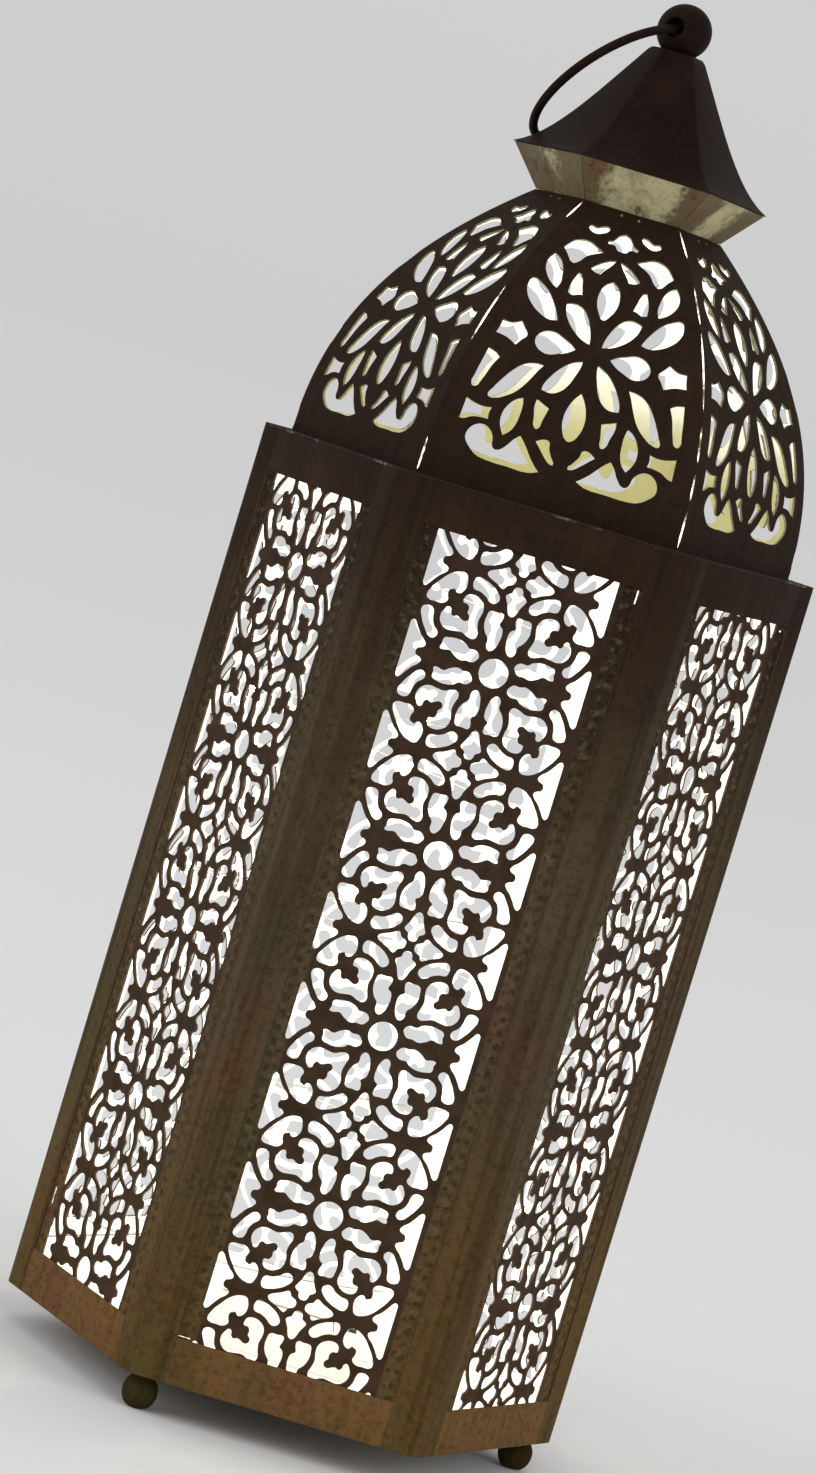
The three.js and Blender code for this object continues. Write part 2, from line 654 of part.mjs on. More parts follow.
function makeFinial() {
  const studEnd = CROWN_HEIGHT - SHEET_THICKNESS - SEAT_GAP - FINIAL_NUT_HEIGHT - STUD_END_LENGTH;
  const start = Math.atan2(BALL_SEAT - BALL_HEIGHT, BALL_SEAT_RADIUS);
  const line = [[0, studEnd], [FINIAL_STUD_RADIUS, studEnd], [FINIAL_STUD_RADIUS, BALL_SEAT]];
  for (let i = 0; i <= BALL_STEPS; i++) {
    const angle = start + ((Math.PI / 2 - start) * i) / BALL_STEPS;
    const across = i === BALL_STEPS ? 0 : BALL_RADIUS * Math.cos(angle);
    line.push([across, BALL_HEIGHT + BALL_RADIUS * Math.sin(angle)]);
  }
  const points = line.map(([x, y]) => new THREE.Vector2(x, y));
  const ball = new THREE.LatheGeometry(points, 2 * BALL_STEPS).rotateX(Math.PI / 2);
  const holeRadius = RING_WIRE_RADIUS + RING_SAG + RING_HOLE_CLEARANCE;
  const through = 2 * (BALL_RADIUS + RING_WIRE_RADIUS);
  const hole = new THREE.CylinderGeometry(holeRadius, holeRadius, through, ROUND)
    .rotateZ(Math.PI / 2)
    .rotateZ(toRadians(RING_HOLE_TURN))
    .translate(0, 0, BALL_HEIGHT);
  piece(lantern, "ball_finial", cut(ball, hole), CAP_BRONZE);
  const bore = FINIAL_STUD_RADIUS + STUD_CLEARANCE;
  const nutTop = CROWN_HEIGHT - SHEET_THICKNESS - SEAT_GAP;
  const finialNut = nut(FINIAL_NUT_RADIUS, FINIAL_NUT_HEIGHT, bore);
  piece(lantern, "finial_nut", finialNut.translate(0, 0, nutTop - FINIAL_NUT_HEIGHT), WORN_BRONZE);
}

function makeRing() {
  const group = new THREE.Group();
  group.position.z = BALL_HEIGHT;
  group.rotation.set(toRadians(-RING_REST_DROP), 0, toRadians(RING_HOLE_TURN), "ZXY");
  lantern.add(group);
  const ring = new THREE.TorusGeometry(RING_RADIUS, RING_WIRE_RADIUS, RING_SIDES, RING_STEPS);
  piece(group, "ring_handle", ring.translate(0, RING_RADIUS, 0), CAP_BRONZE);
}

// Door, hinges, knob, stop and latch, drawn on the front face and turned to the rear left
const DOOR_HALF = WINDOW_HALF - DOOR_GAP;
const DOOR_BOTTOM = WINDOW_BOTTOM + DOOR_GAP;
const DOOR_TOP = WINDOW_TOP - DOOR_GAP;
const HINGE_X = WINDOW_HALF;
const HINGE_Y = -FACE_DISTANCE - SEAT_GAP - HINGE_BARREL_RADIUS;

function hingeLeaf(side, middle, knuckles) {
  const knuckle = HINGE_HEIGHT / 3;
  const back = -FACE_DISTANCE - SEAT_GAP;
  const front = back - HINGE_LEAF_THICKNESS;
  const clear = HINGE_BARREL_RADIUS + DOOR_GAP;
  const bottom = middle - HINGE_HEIGHT / 2;
  const far = HINGE_X + side * (clear + HINGE_LEAF_WIDTH);
  const near = HINGE_X + side * clear;
  const [left, right] = [Math.min(far, near), Math.max(far, near)];
  const solids = [block(left, right, front, back, bottom, bottom + HINGE_HEIGHT)];
  for (const place of knuckles) {
    const low = bottom + place * knuckle + SEAT_GAP / 2;
    const high = low + knuckle - SEAT_GAP;
    const tab = [Math.min(near, HINGE_X), Math.max(near, HINGE_X)];
    const overrun = side * SEAT_GAP;
    const reach = side > 0 ? [tab[0], tab[1] + overrun] : [tab[0] + overrun, tab[1]];
    solids.push(block(...reach, front, back, low, high));
    solids.push(rod(HINGE_BARREL_RADIUS, low, high, HINGE_X, HINGE_Y, BARREL_SIDES));
  }
  const boreRadius = HINGE_PIN_RADIUS + SEAT_GAP;
  const [low, high] = [bottom - knuckle, bottom + HINGE_HEIGHT + knuckle];
  return cut(joined(...solids), rod(boreRadius, low, high, HINGE_X, HINGE_Y, BARREL_SIDES));
}

function makeHinges(group) {
  const heights = { upper: DOOR_TOP - HINGE_END_DISTANCE, lower: DOOR_BOTTOM + HINGE_END_DISTANCE };
  for (const [name, middle] of Object.entries(heights)) {
    const half = HINGE_HEIGHT / 2;
    const pinRod = rod(HINGE_PIN_RADIUS, middle - half, middle + half, HINGE_X, HINGE_Y, BARREL_SIDES);
    piece(group, `post_hinge_leaf_${name}`, hingeLeaf(1, middle, [0, 2]), WORN_BRONZE);
    piece(group, `door_hinge_leaf_${name}`, hingeLeaf(-1, middle, [1]), WORN_BRONZE);
    piece(group, `hinge_pin_${name}`, pinRod, WORN_BRONZE);
  }
}

function makeDoor(group) {
  const framed = (inset, Kind) =>
    rectangle(inset - DOOR_HALF, DOOR_BOTTOM + inset, DOOR_HALF - inset, DOOR_TOP - inset, Kind);
  const frame = framed(0, THREE.Shape);
  frame.holes.push(framed(DOOR_STRIP_WIDTH, THREE.Path));
  piece(group, "door_frame", standing(frame, SHEET_THICKNESS, -FACE_DISTANCE), BRONZE);
  const panel = framed(DOOR_PANEL_INSET, THREE.Shape);
  const [bottom, top] = [DOOR_BOTTOM + DOOR_STRIP_WIDTH, DOOR_TOP - DOOR_STRIP_WIDTH];
  const rosette = WINDOW_TOP - ROSETTE_DISTANCES[DOOR_FACE];
  pierce(panel, DOOR_HALF - DOOR_STRIP_WIDTH, bottom, top, rosette);
  piece(group, "door_pierced_panel", standing(panel, PANEL_THICKNESS, -PANEL_DISTANCE), BRONZE);
}

const LATCH_X = -(WINDOW_HALF + POST_FLANGE_WIDTH / 2);
const LATCH_Z = (DOOR_BOTTOM + DOOR_TOP) / 2;

// A knob drawn from the door's face outwards, as shares of its length and radius.
const KNOB_SHARES = [
  [0.75, 0],
  [0.75, 0.1],
  [0.4, 0.2],
  [0.4, 0.4],
  [0.85, 0.55],
  [1, 0.75],
  [0.7, 0.95],
];

function makeKnob(group) {
  const line = KNOB_SHARES.map(([across, out]) => [across * KNOB_RADIUS, out * KNOB_LENGTH]);
  const points = [[0, 0], ...line, [0, KNOB_LENGTH]].map(([x, y]) => new THREE.Vector2(x, y));
  const knob = new THREE.LatheGeometry(points, ROUND).rotateX(Math.PI);
  knob.translate(-DOOR_HALF + DOOR_STRIP_WIDTH / 2, -FACE_DISTANCE - SEAT_GAP, LATCH_Z - KNOB_DISTANCE);
  piece(group, "door_knob", knob, WORN_BRONZE);
}

function makeLatch(group) {
  const back = -FACE_DISTANCE - LATCH_GAP;
  const front = back - LATCH_THICKNESS;
  const shape = new THREE.Shape();
  const radius = LATCH_WIDTH / 2;
  shape.absarc(0, LATCH_WIDTH - LATCH_LENGTH, radius, Math.PI, 2 * Math.PI);
  shape.absarc(0, 0, radius, 0, Math.PI);
  shape.holes.push(outline(polygonPoints(LATCH_PIN_RADIUS + SEAT_GAP, ROUND), THREE.Path));
  const latch = standing(shape, LATCH_THICKNESS, front, SIDES).translate(LATCH_X, 0, LATCH_Z);
  piece(group, "door_latch", latch, WORN_BRONZE);
  const headBack = front - SEAT_GAP;
  const shankFront = headBack - LATCH_HEAD_HEIGHT / 2;
  const shank = pin(LATCH_PIN_RADIUS, shankFront, -FACE_DISTANCE - SEAT_GAP, LATCH_X, LATCH_Z);
  const head = pin(LATCH_HEAD_RADIUS, headBack - LATCH_HEAD_HEIGHT, headBack, LATCH_X, LATCH_Z);
  piece(group, "latch_pin", joined(head, shank), WORN_BRONZE);
}

function makeStop(group) {
  const inner = -DOOR_HALF + DOOR_PANEL_INSET - DOOR_GAP;
  const back = -PANEL_DISTANCE + SHEET_THICKNESS;
  const [low, high] = [LATCH_Z - STOP_HEIGHT / 2, LATCH_Z + STOP_HEIGHT / 2];
  const strip = block(inner - STOP_WIDTH, inner, -PANEL_DISTANCE, back, low, high);
  piece(group, "door_stop", strip, BRONZE);
}

function makeDoorway() {
  const group = faceGroup(FACES.find(([name]) => name === DOOR_FACE)[1]);
  makeDoor(group);
  makeHinges(group);
  makeKnob(group);
  makeLatch(group);
  makeStop(group);
}

// Battery box, its cells, lid and switch. It lies along X with its switch at +X.
const CELL_ROOM = CELL_RADIUS + CELL_CLEARANCE;
const BOX_BOTTOM = BASE_TOP + SEAT_GAP;
const ROOM_HALF = CELL_COUNT * CELL_ROOM;
const BOX_HALF_WIDTH = ROOM_HALF + LID_GROOVE_DEPTH + BOX_WALL_THICKNESS;
const BAY_LENGTH = CELL_LENGTH + CELL_TIP_LENGTH + 2 * CELL_CLEARANCE;
const BOX_LENGTH = BAY_LENGTH + 2 * BOX_WALL_THICKNESS + BOX_SWITCH_LENGTH;
const BOX_LEFT = -BOX_LENGTH / 2;
const BOX_END = BOX_LEFT + BOX_LENGTH;
const BAY_LEFT = BOX_LEFT + BOX_WALL_THICKNESS;
const LID_BOTTOM = BOX_BOTTOM + BOX_WALL_THICKNESS + 2 * CELL_ROOM;
const LID_TOP = LID_BOTTOM + LID_THICKNESS;
const BOX_TOP = LID_TOP + LID_CLEARANCE + BOX_WALL_THICKNESS;

function makeBox(parent) {
  const bayRight = BAY_LEFT + BAY_LENGTH;
  const outside = BOX_LEFT - BOX_WALL_THICKNESS;
  const above = BOX_TOP + BOX_WALL_THICKNESS;
  const groove = ROOM_HALF + LID_GROOVE_DEPTH;
  const body = block(BOX_LEFT, BOX_END, -BOX_HALF_WIDTH, BOX_HALF_WIDTH, BOX_BOTTOM, BOX_TOP);
  const room = block(BAY_LEFT, bayRight, -ROOM_HALF, ROOM_HALF, BOX_BOTTOM + BOX_WALL_THICKNESS, LID_TOP);
  const [trackLow, trackHigh] = [LID_BOTTOM - LID_CLEARANCE, LID_TOP + LID_CLEARANCE];
  const track = block(outside, bayRight, -groove, groove, trackLow, trackHigh);
  const mouth = block(outside, bayRight, -ROOM_HALF, ROOM_HALF, LID_TOP, above);
  const slotHalf = (SWITCH_LENGTH + SWITCH_TRAVEL) / 2 + SEAT_GAP;
  const middle = BOX_END - BOX_SWITCH_LENGTH / 2;
  const slotSide = SWITCH_WIDTH / 2 + SEAT_GAP;
  const slotFloor = BOX_TOP - 2 * BOX_WALL_THICKNESS;
  const slot = block(middle - slotSide, middle + slotSide, -slotHalf, slotHalf, slotFloor, above);
  piece(parent, "battery_box", cut(body, room, track, mouth, slot), PLASTIC);
  const start = SEAT_GAP - slotHalf;
  const knobTop = BOX_TOP + SWITCH_HEIGHT;
  const side = SWITCH_WIDTH / 2;
  const [left, right] = [middle - side, middle + side];
  const knob = block(left, right, start, start + SWITCH_LENGTH, slotFloor + SEAT_GAP, knobTop);
  piece(parent, "switch_slider", knob, DARK_BRONZE);
}

function makeLid(parent) {
  const half = ROOM_HALF + LID_GROOVE_DEPTH - LID_CLEARANCE;
  const right = BAY_LEFT + BAY_LENGTH - LID_CLEARANCE;
  piece(parent, "battery_lid", block(BOX_LEFT, right, -half, half, LID_BOTTOM, LID_TOP), PLASTIC);
}

function makeCells(parent) {
  const bottom = BAY_LEFT + CELL_CLEARANCE;
  const line = [
    [0, 0],
    [CELL_RADIUS, 0],
    [CELL_RADIUS, CELL_LENGTH],
    [CELL_TIP_RADIUS, CELL_LENGTH],
    [CELL_TIP_RADIUS, CELL_LENGTH + CELL_TIP_LENGTH],
    [0, CELL_LENGTH + CELL_TIP_LENGTH],
  ].map(([x, y]) => new THREE.Vector2(x, y));
  for (let i = 0; i < CELL_COUNT; i++) {
    const across = (2 * i + 1 - CELL_COUNT) * CELL_ROOM;
    const turned = i % 2 === 1;
    const cell = new THREE.LatheGeometry(line, ROUND).rotateZ(turned ? Math.PI / 2 : -Math.PI / 2);
    const start = turned ? bottom + CELL_LENGTH + CELL_TIP_LENGTH : bottom;
    const rest = BOX_BOTTOM + BOX_WALL_THICKNESS + SEAT_GAP + CELL_RADIUS;
    piece(parent, `battery_cell_${i + 1}`, cell.translate(start, across, rest), CELL_GREEN);
  }
}

// Lamp string: out of the box, round to the panels, then up inside them in even turns
const STRING_RADIUS = PANEL_DISTANCE - PANEL_THICKNESS - STRING_WALL_GAP - WIRE_RADIUS;
const TURN_LENGTH = Math.hypot(2 * Math.PI * STRING_RADIUS, STRING_PITCH);
const LEAD_HEIGHT = (BOX_BOTTOM + LID_BOTTOM) / 2;
const LEAD_START = BOX_END + SEAT_GAP;

function roundAxis(radius, degrees, height) {
  const angle = toRadians(degrees);
  return new THREE.Vector3(radius * Math.cos(angle), radius * Math.sin(angle), height);
}

// A point of the lead, at a share of its way out from the box to the panels.
function leadPoint(share) {
  const eased = THREE.MathUtils.smoothstep(share, 0, 1);
  const radius = THREE.MathUtils.lerp(LEAD_START + LEAD_STRAIGHT_LENGTH, STRING_RADIUS, eased);
  const height = THREE.MathUtils.lerp(LEAD_HEIGHT, STRING_START_HEIGHT, eased);
  return roundAxis(radius, LEAD_TURN * share, height);
}

// A point of the turns, `run` along the wire from the first lamp and `inset` towards the axis.
function turnPoint(run, inset = 0) {
  const turns = run / TURN_LENGTH;
  const height = STRING_START_HEIGHT + STRING_PITCH * turns;
  return roundAxis(STRING_RADIUS - inset, LEAD_TURN + 360 * turns, height);
}

// The wire's middle line with its radius there. At each lamp it swells on the side of the axis.
function stringStations() {
  const wire = (point) => ({ point, radius: WIRE_RADIUS });
  const stations = [wire(new THREE.Vector3(LEAD_START, 0, LEAD_HEIGHT))];
  for (let i = 0; i < LEAD_STEPS; i++) stations.push(wire(leadPoint(i / LEAD_STEPS)));
  for (let i = 0; i <= (LAMP_COUNT - 1) * STEPS_PER_LAMP; i++) {
    const run = (i * LAMP_SPACING) / STEPS_PER_LAMP;
    if (i % STEPS_PER_LAMP) {
      stations.push(wire(turnPoint(run)));
      continue;
    }
    stations.push(wire(turnPoint(run - LAMP_LENGTH / 2)));
    stations.push({ point: turnPoint(run, LAMP_RADIUS - WIRE_RADIUS), radius: LAMP_RADIUS });
    stations.push(wire(turnPoint(run + LAMP_LENGTH / 2)));
  }
  return stations;
}

// Rings of points round the stations, joined into one closed tube.
function stringTube(stations) {
  const positions = [];
  stations.forEach(({ point, radius }, i) => {
    const before = stations[Math.max(0, i - 1)].point;
    const after = stations[Math.min(stations.length - 1, i + 1)].point;
    const along = i === 0 ? AXIS_X : after.clone().sub(before).normalize();
    const side = new THREE.Vector3().crossVectors(AXIS_Z, along).normalize();
    const up = new THREE.Vector3().crossVectors(along, side);
    for (const [s, u] of polygonPoints(radius, WIRE_SIDES)) {
      positions.push(...point.clone().addScaledVector(side, s).addScaledVector(up, u).toArray());
    }
  });
  const faces = [];
  const at = (ring, k) => ring * WIRE_SIDES + (k % WIRE_SIDES);
  const last = stations.length - 1;
  for (let ring = 0; ring < last; ring++) {
    for (let k = 0; k < WIRE_SIDES; k++) {
      faces.push(at(ring, k), at(ring, k + 1), at(ring + 1, k + 1));
      faces.push(at(ring, k), at(ring + 1, k + 1), at(ring + 1, k));
    }
  }
  for (let k = 1; k < WIRE_SIDES - 1; k++) {
    faces.push(at(0, 0), at(0, k + 1), at(0, k), at(last, 0), at(last, k), at(last, k + 1));
  }
  const tube = new THREE.BufferGeometry();
  tube.setAttribute("position", new THREE.Float32BufferAttribute(positions, 3));
  tube.setIndex(faces);
  tube.computeVertexNormals();
  return tube;
}

// The least gap of the string to itself, between points over half a turn apart along it.
function leastGap(stations) {
  const runs = [0];
  for (let i = 1; i < stations.length; i++) {
    runs.push(runs[i - 1] + stations[i].point.distanceTo(stations[i - 1].point));
  }
  let least = Infinity;
  stations.forEach((from, i) => {
    stations.forEach((to, k) => {
      if (runs[k] - runs[i] < TURN_LENGTH / 2) return;
      least = Math.min(least, from.point.distanceTo(to.point) - from.radius - to.radius);
    });
  });
  return least;
}

function makeString() {
  const stations = stringStations();
  piece(lantern, "lamp_string", stringTube(stations), SILVER_WIRE);
  const turns = ((LAMP_COUNT - 1) * LAMP_SPACING) / TURN_LENGTH;
  const gap = leastGap(stations).toFixed(2);
  console.log(`lamp string: ${turns.toFixed(2)} turns, least gap to itself ${gap} mm`);
}

makePosts();
makeRails();
makeRim();
makeBase();
makeFeet();
makePanels();
makeDome();
makeCap();
makeFinial();
makeRing();
makeDoorway();
makeBox(lantern);
makeLid(lantern);
makeCells(lantern);
makeString();

export default lantern;
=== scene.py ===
"""Looks of a six-sided pierced sheet-metal floor lantern, built round its packed CAD model.

Metres, +Z up. Sizes and colours are in the property groups, and each operator makes one kind of piece.
"""

import math
import random

import bmesh
import bpy
from bpy.props import FloatProperty, FloatVectorProperty, IntProperty
from mathutils import Matrix, Vector


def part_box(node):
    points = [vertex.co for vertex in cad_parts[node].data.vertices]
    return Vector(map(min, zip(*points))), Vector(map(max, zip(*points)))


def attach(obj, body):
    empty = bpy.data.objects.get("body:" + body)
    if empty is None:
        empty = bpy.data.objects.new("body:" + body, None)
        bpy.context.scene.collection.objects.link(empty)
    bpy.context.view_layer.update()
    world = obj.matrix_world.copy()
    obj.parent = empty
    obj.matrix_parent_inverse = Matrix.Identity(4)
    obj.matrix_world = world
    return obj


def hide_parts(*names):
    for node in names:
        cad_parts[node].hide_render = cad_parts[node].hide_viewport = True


bl_info = {
    "name": "Pierced lantern",
    "version": (1, 0, 0),
    "blender": (4, 5, 0),
    "location": "3D View > Sidebar > Lantern",
    "description": "Models and finishes a six-sided pierced metal lantern",
    "category": "Object",
}

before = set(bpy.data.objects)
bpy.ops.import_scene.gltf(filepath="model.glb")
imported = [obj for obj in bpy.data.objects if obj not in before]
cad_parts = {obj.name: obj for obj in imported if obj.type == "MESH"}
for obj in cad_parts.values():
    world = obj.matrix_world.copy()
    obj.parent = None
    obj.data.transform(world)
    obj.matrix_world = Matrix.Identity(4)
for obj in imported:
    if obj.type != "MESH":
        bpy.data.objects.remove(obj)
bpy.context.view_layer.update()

MM = 0.001
SIDES = 6
FLAT = math.cos(math.pi / SIDES)
FACES = {"front": 270, "front_right": 330, "rear_right": 30, "rear": 90, "rear_left": 150, "front_left": 210}
CORNERS = {"right": 0, "rear_right": 60, "rear_left": 120, "left": 180, "front_left": 240, "front_right": 300}
FOOT_CORNERS = ("right", "rear_left", "front_left")
DOOR_FACE = "rear_left"


# Sizes and colours


def length(name, description, millimetres):
    """A length that the sidebar shows in the scene's unit."""
    value = millimetres * MM
    return FloatProperty(name=name, description=description, default=value, unit="LENGTH", precision=5)


def angle(name, description, degrees):
    """An angle that the sidebar shows in degrees."""
    return FloatProperty(name=name, description=description, default=math.radians(degrees), subtype="ANGLE")


def colour(name, description, value):
    """A linear colour."""
    return FloatVectorProperty(
        name=name, description=description, default=value, size=3, subtype="COLOR", min=0, max=1
    )


class LANTERN_PG_body(bpy.types.PropertyGroup):
    """Posts, rails, rim and feet."""

    corner_radius: length("Corner radius", "From the axis to a sharp corner of the body", 128.4)
    wall_bottom: length("Wall bottom", "Height of the lower end of the posts", 16)
    rim_top: length("Rim top", "Height of the rim's upper face", 419.4)
    rim_sheet: length("Rim sheet", "Thickness of the rim", 1.2)
    rim_ledge: length("Rim ledge", "Rim outside the dome, at a corner", 13)
    rim_seat: length("Rim seat", "Rim that reaches in under the dome, at a corner", 11)
    sheet: length("Sheet", "Thickness of posts, rails, roof and cap", 1)
    seat_gap: length("Seat gap", "Solder line between two pieces", 0.3)
    post_flange: length("Post flange", "Width of a post's flange", 16)
    post_bend: length("Post bend", "Radius of a post's fold", 6)
    foot_radius: length("Foot radius", "Radius of a ball foot", 7.85)
    foot_inset: length("Foot inset", "From the body's corner to the foot's middle", 14.4)
    stud_radius: length("Stud radius", "Radius of a foot's stud", 2)
    stud_top: length("Stud top", "Height of the end of a foot's stud", 23.5)
    edge: length("Edge", "Worn round of a sheet's edge", 0.18)


class LANTERN_PG_pattern(bpy.types.PropertyGroup):
    """Pierced panels."""

    sheet: length("Sheet", "Thickness of a pierced panel", 0.8)
    overlap: length("Overlap", "How far a panel reaches behind the posts and rails", 5)
    window_bottom: length("Window bottom", "Height of a window's lower edge", 36.4)
    window_top: length("Window top", "Height of a window's upper edge", 399.6)
    repeat: length("Repeat", "From one rosette to the next", 80.7)
    behind_rail: length("Behind rail", "How far the pattern runs on behind the rails", 1.6)
    hub_radius: length("Hub radius", "Radius of a rosette's round opening", 6.5)
    web: length("Web", "Added to each side of a web by the thickness of the patina", 0.24)
    wander: length("Wander", "Most that an opening stands off its drawn place", 0.14)
    seed: IntProperty(name="Seed", description="Start of the hand-cut irregularity", default=7, min=0)


class LANTERN_PG_dome(bpy.types.PropertyGroup):
    """Dome, cap, ball and ring."""

    height: length("Dome height", "From the rim to the neck", 132.8)
    neck_radius: length("Neck radius", "From the axis to a corner of the neck", 42.8)
    slit_width: length("Slit width", "How wide a gap is left open where a ridge isn't soldered", 0.5)
    flower_height: length("Flower height", "Height of the middle of the dome's flower", 490.7)
    row: length("Row", "Height of one row of faces in the bent sheet", 3.2)
    skirt_height: length("Skirt height", "Height of the cap's skirt", 17.2)
    eave_radius: length("Eave radius", "From the axis to a corner of the eave", 59.2)
    eave_return: length("Eave return", "How far the skirt sits inside the eave", 1.4)
    eave_edge: length("Eave edge", "Cut edge at the eave, measured level", 2.6)
    cap_height: length("Cap height", "From the eave to the shoulder", 55)
    shoulder_radius: length("Shoulder radius", "From the axis to a corner of the shoulder", 14)
    crown_step: length("Crown step", "From the shoulder to the crown", 2.2)
    crown_radius: length("Crown radius", "From the axis to a corner of the crown", 11.5)
    crown_hole: length("Crown hole", "Radius of the hole for the ball's stud", 2.9)
    ball_radius: length("Ball radius", "Radius of the ball", 12.3)
    ball_seat: length("Ball seat", "Radius of the flat that the ball sits on", 7.7)
    ball_stud: length("Ball stud", "Radius of the ball's stud", 2.5)
    ring_radius: length("Ring radius", "From the ring's middle to its wire", 40.2)
    ring_wire: length("Ring wire", "Radius of the ring's wire", 2)
    ring_clearance: length("Ring clearance", "Between the ring and its hole", 0.45)
    ring_turn: angle("Ring turn", "Direction of the ball's cross-hole in plan", 63)
    ring_drop: angle("Ring drop", "How far below level the ring hangs at rest", 50)


class LANTERN_PG_door(bpy.types.PropertyGroup):
    """Door, hinges, knob and latch."""

    gap: length("Gap", "Between the door and its opening", 0.8)
    strip: length("Strip", "Width of the door's frame", 8.8)
    panel_inset: length("Panel inset", "From the door's edge to its pierced panel's edge", 5)
    barrel: length("Barrel", "Radius of a hinge's barrel", 2.2)
    pin: length("Pin", "Radius of a hinge's pin", 1)
    hinge_height: length("Hinge height", "Height of a hinge", 30)
    leaf_width: length("Leaf width", "Width of a hinge's leaf", 6)
    leaf_sheet: length("Leaf sheet", "Thickness of a hinge's leaf", 0.8)
    hinge_end: length("Hinge end", "From the door's end to the hinge's middle", 55)
    knob_radius: length("Knob radius", "Radius of the knob", 4.2)
    knob_length: length("Knob length", "How far the knob stands out", 10)
    knob_drop: length("Knob drop", "From the latch down to the knob", 34)
    latch_length: length("Latch length", "Length of the latch", 20)
    latch_width: length("Latch width", "Width of the latch", 7)
    latch_sheet: length("Latch sheet", "Thickness of the latch", 1.2)
    latch_lift: length("Latch lift", "Between the latch and the faces behind it", 0.7)
    latch_pin: length("Latch pin", "Radius of the latch's pin", 1.5)
    latch_head: length("Latch head", "Radius of the head of the latch's pin", 3)
    head_height: length("Head height", "Height of the head of the latch's pin", 1)


class LANTERN_PG_string(bpy.types.PropertyGroup):
    """Lamp string and battery box."""

    wire: length("Wire", "Radius of the wire", 0.4)
    radius: length("Radius", "From the axis to the wire", 108.348)
    rise: length("Rise", "From one turn to the next", 82)
    start_height: length("Start height", "Height of the first lamp", 44)
    lead_turn: angle("Lead turn", "Turn of the lead from the box to the panels", 130)
    lead_start: length("Lead start", "From the axis to the end of the battery box", 34.4)
    lead_height: length("Lead height", "Height of the lead where it leaves the box", 27.1)
    lead_straight: length("Lead straight", "Straight wire out of the box", 6)
    lamps: IntProperty(name="Lamps", description="Number of lamps", default=30, min=1)
    spacing: length("Spacing", "From one lamp to the next", 100)
    bead: length("Bead", "Radius of the clear bead over a lamp", 1.85)
    bead_length: length("Bead length", "Length of the clear bead", 4.3)
    chip: length("Chip", "Radius of the lamp in a bead", 0.75)


class LANTERN_PG_finish(bpy.types.PropertyGroup):
    """Colours."""

    rail: colour("Rail patina", "Bottom rails", (0.17, 0.09, 0.032))
    warm: colour("Warm patina", "Foot of the posts", (0.12, 0.074, 0.024))
    olive: colour("Olive patina", "Middle of the body", (0.085, 0.06, 0.031))
    umber: colour("Umber patina", "Upper body and dome", (0.026, 0.0145, 0.0095))
    web: colour("Webs", "Webs of the pierced panels", (0.052, 0.03, 0.02))
    rust: colour("Rust", "Patches of rust", (0.15, 0.056, 0.032))
    moss: colour("Moss", "Green film low on the body", (0.07, 0.07, 0.028))
    bloom: colour("Bloom", "Pale worn bloom over the patina", (0.17, 0.135, 0.08))
    foot: colour("Feet", "Ball feet", (0.034, 0.021, 0.006))
    cap: colour("Cap", "Roof of the cap, ball and ring", (0.01, 0.0055, 0.0042))
    skirt: colour("Skirt", "Skirt under the cap", (0.5, 0.45, 0.27))
    # inside and dome_inside also colour the painted glow of the inner sides.
    inside: colour("Inside", "Bare inner side of the sheets", (0.86, 0.85, 0.8))
    dome_inside: colour("Dome inside", "Inner side of the dome, low down", (0.36, 0.34, 0.155))
    lamp: colour("Lamp", "Light of the lamps", (1.0, 0.83, 0.55))


class LANTERN_PG_stage(bpy.types.PropertyGroup):
    """Camera, lights and floor."""

    lens: FloatProperty(name="Lens", description="Focal length in millimetres", default=115.22)
    camera_x: length("Camera X", "Place of the camera", -70.42)
    camera_y: length("Camera Y", "Place of the camera", -2099.502)
    camera_z: length("Camera Z", "Place of the camera", 456.986)
    tilt: FloatProperty(name="Tilt", description="Radians up from level", default=-0.073)
    roll: FloatProperty(name="Roll", description="Radians, clockwise from behind the camera", default=-0.295)
    pan: FloatProperty(name="Pan", description="Radians to the left", default=-0.021)
    floor: colour("Floor", "Plain pale floor", (0.82, 0.82, 0.82))
    floor_radius: length("Floor radius", "From the middle to the floor's edge", 40000)
    wall: FloatProperty(name="Wall", description="Brightness of the studio's walls", default=0.61)
    ceiling: FloatProperty(name="Ceiling", description="Brightness overhead", default=0.81)
    glow: FloatProperty(name="Glow", description="Watts of each light inside the lantern", default=0.17)


GROUPS = {
    "lantern_body": LANTERN_PG_body,
    "lantern_pattern": LANTERN_PG_pattern,
    "lantern_dome": LANTERN_PG_dome,
    "lantern_door": LANTERN_PG_door,
    "lantern_string": LANTERN_PG_string,
    "lantern_finish": LANTERN_PG_finish,
    "lantern_stage": LANTERN_PG_stage,
}


# Shader maths


class Wire:
    """An output of one node tree. Python's operators on it add Math nodes."""

    def __init__(self, tree, socket):
        self.tree, self.socket = tree, socket

    def math(self, operation, *values):
        """One Math node on some values."""
        return node(self.tree, "ShaderNodeMath", {"operation": operation}, dict(enumerate(values)))

    def __add__(self, other):
        return self.math("ADD", self, other)

    def __sub__(self, other):
        return self.math("SUBTRACT", self, other)

    def __rsub__(self, other):
        return self.math("SUBTRACT", other, self)

    def __mul__(self, other):
        return self.math("MULTIPLY", self, other)

    def __pow__(self, other):
        return self.math("POWER", self, other)

    def __abs__(self):
        return self.math("ABSOLUTE", self)

    __radd__ = __add__
    __rmul__ = __mul__

    def between(self, low, high, start=0.0, end=1.0):
        """Smooth step from start at low to end at high."""
        settings = {"interpolation_type": "SMOOTHSTEP", "clamp": True}
        values = {"Value": self, "From Min": low, "From Max": high, "To Min": start, "To Max": end}
        return node(self.tree, "ShaderNodeMapRange", settings, values)


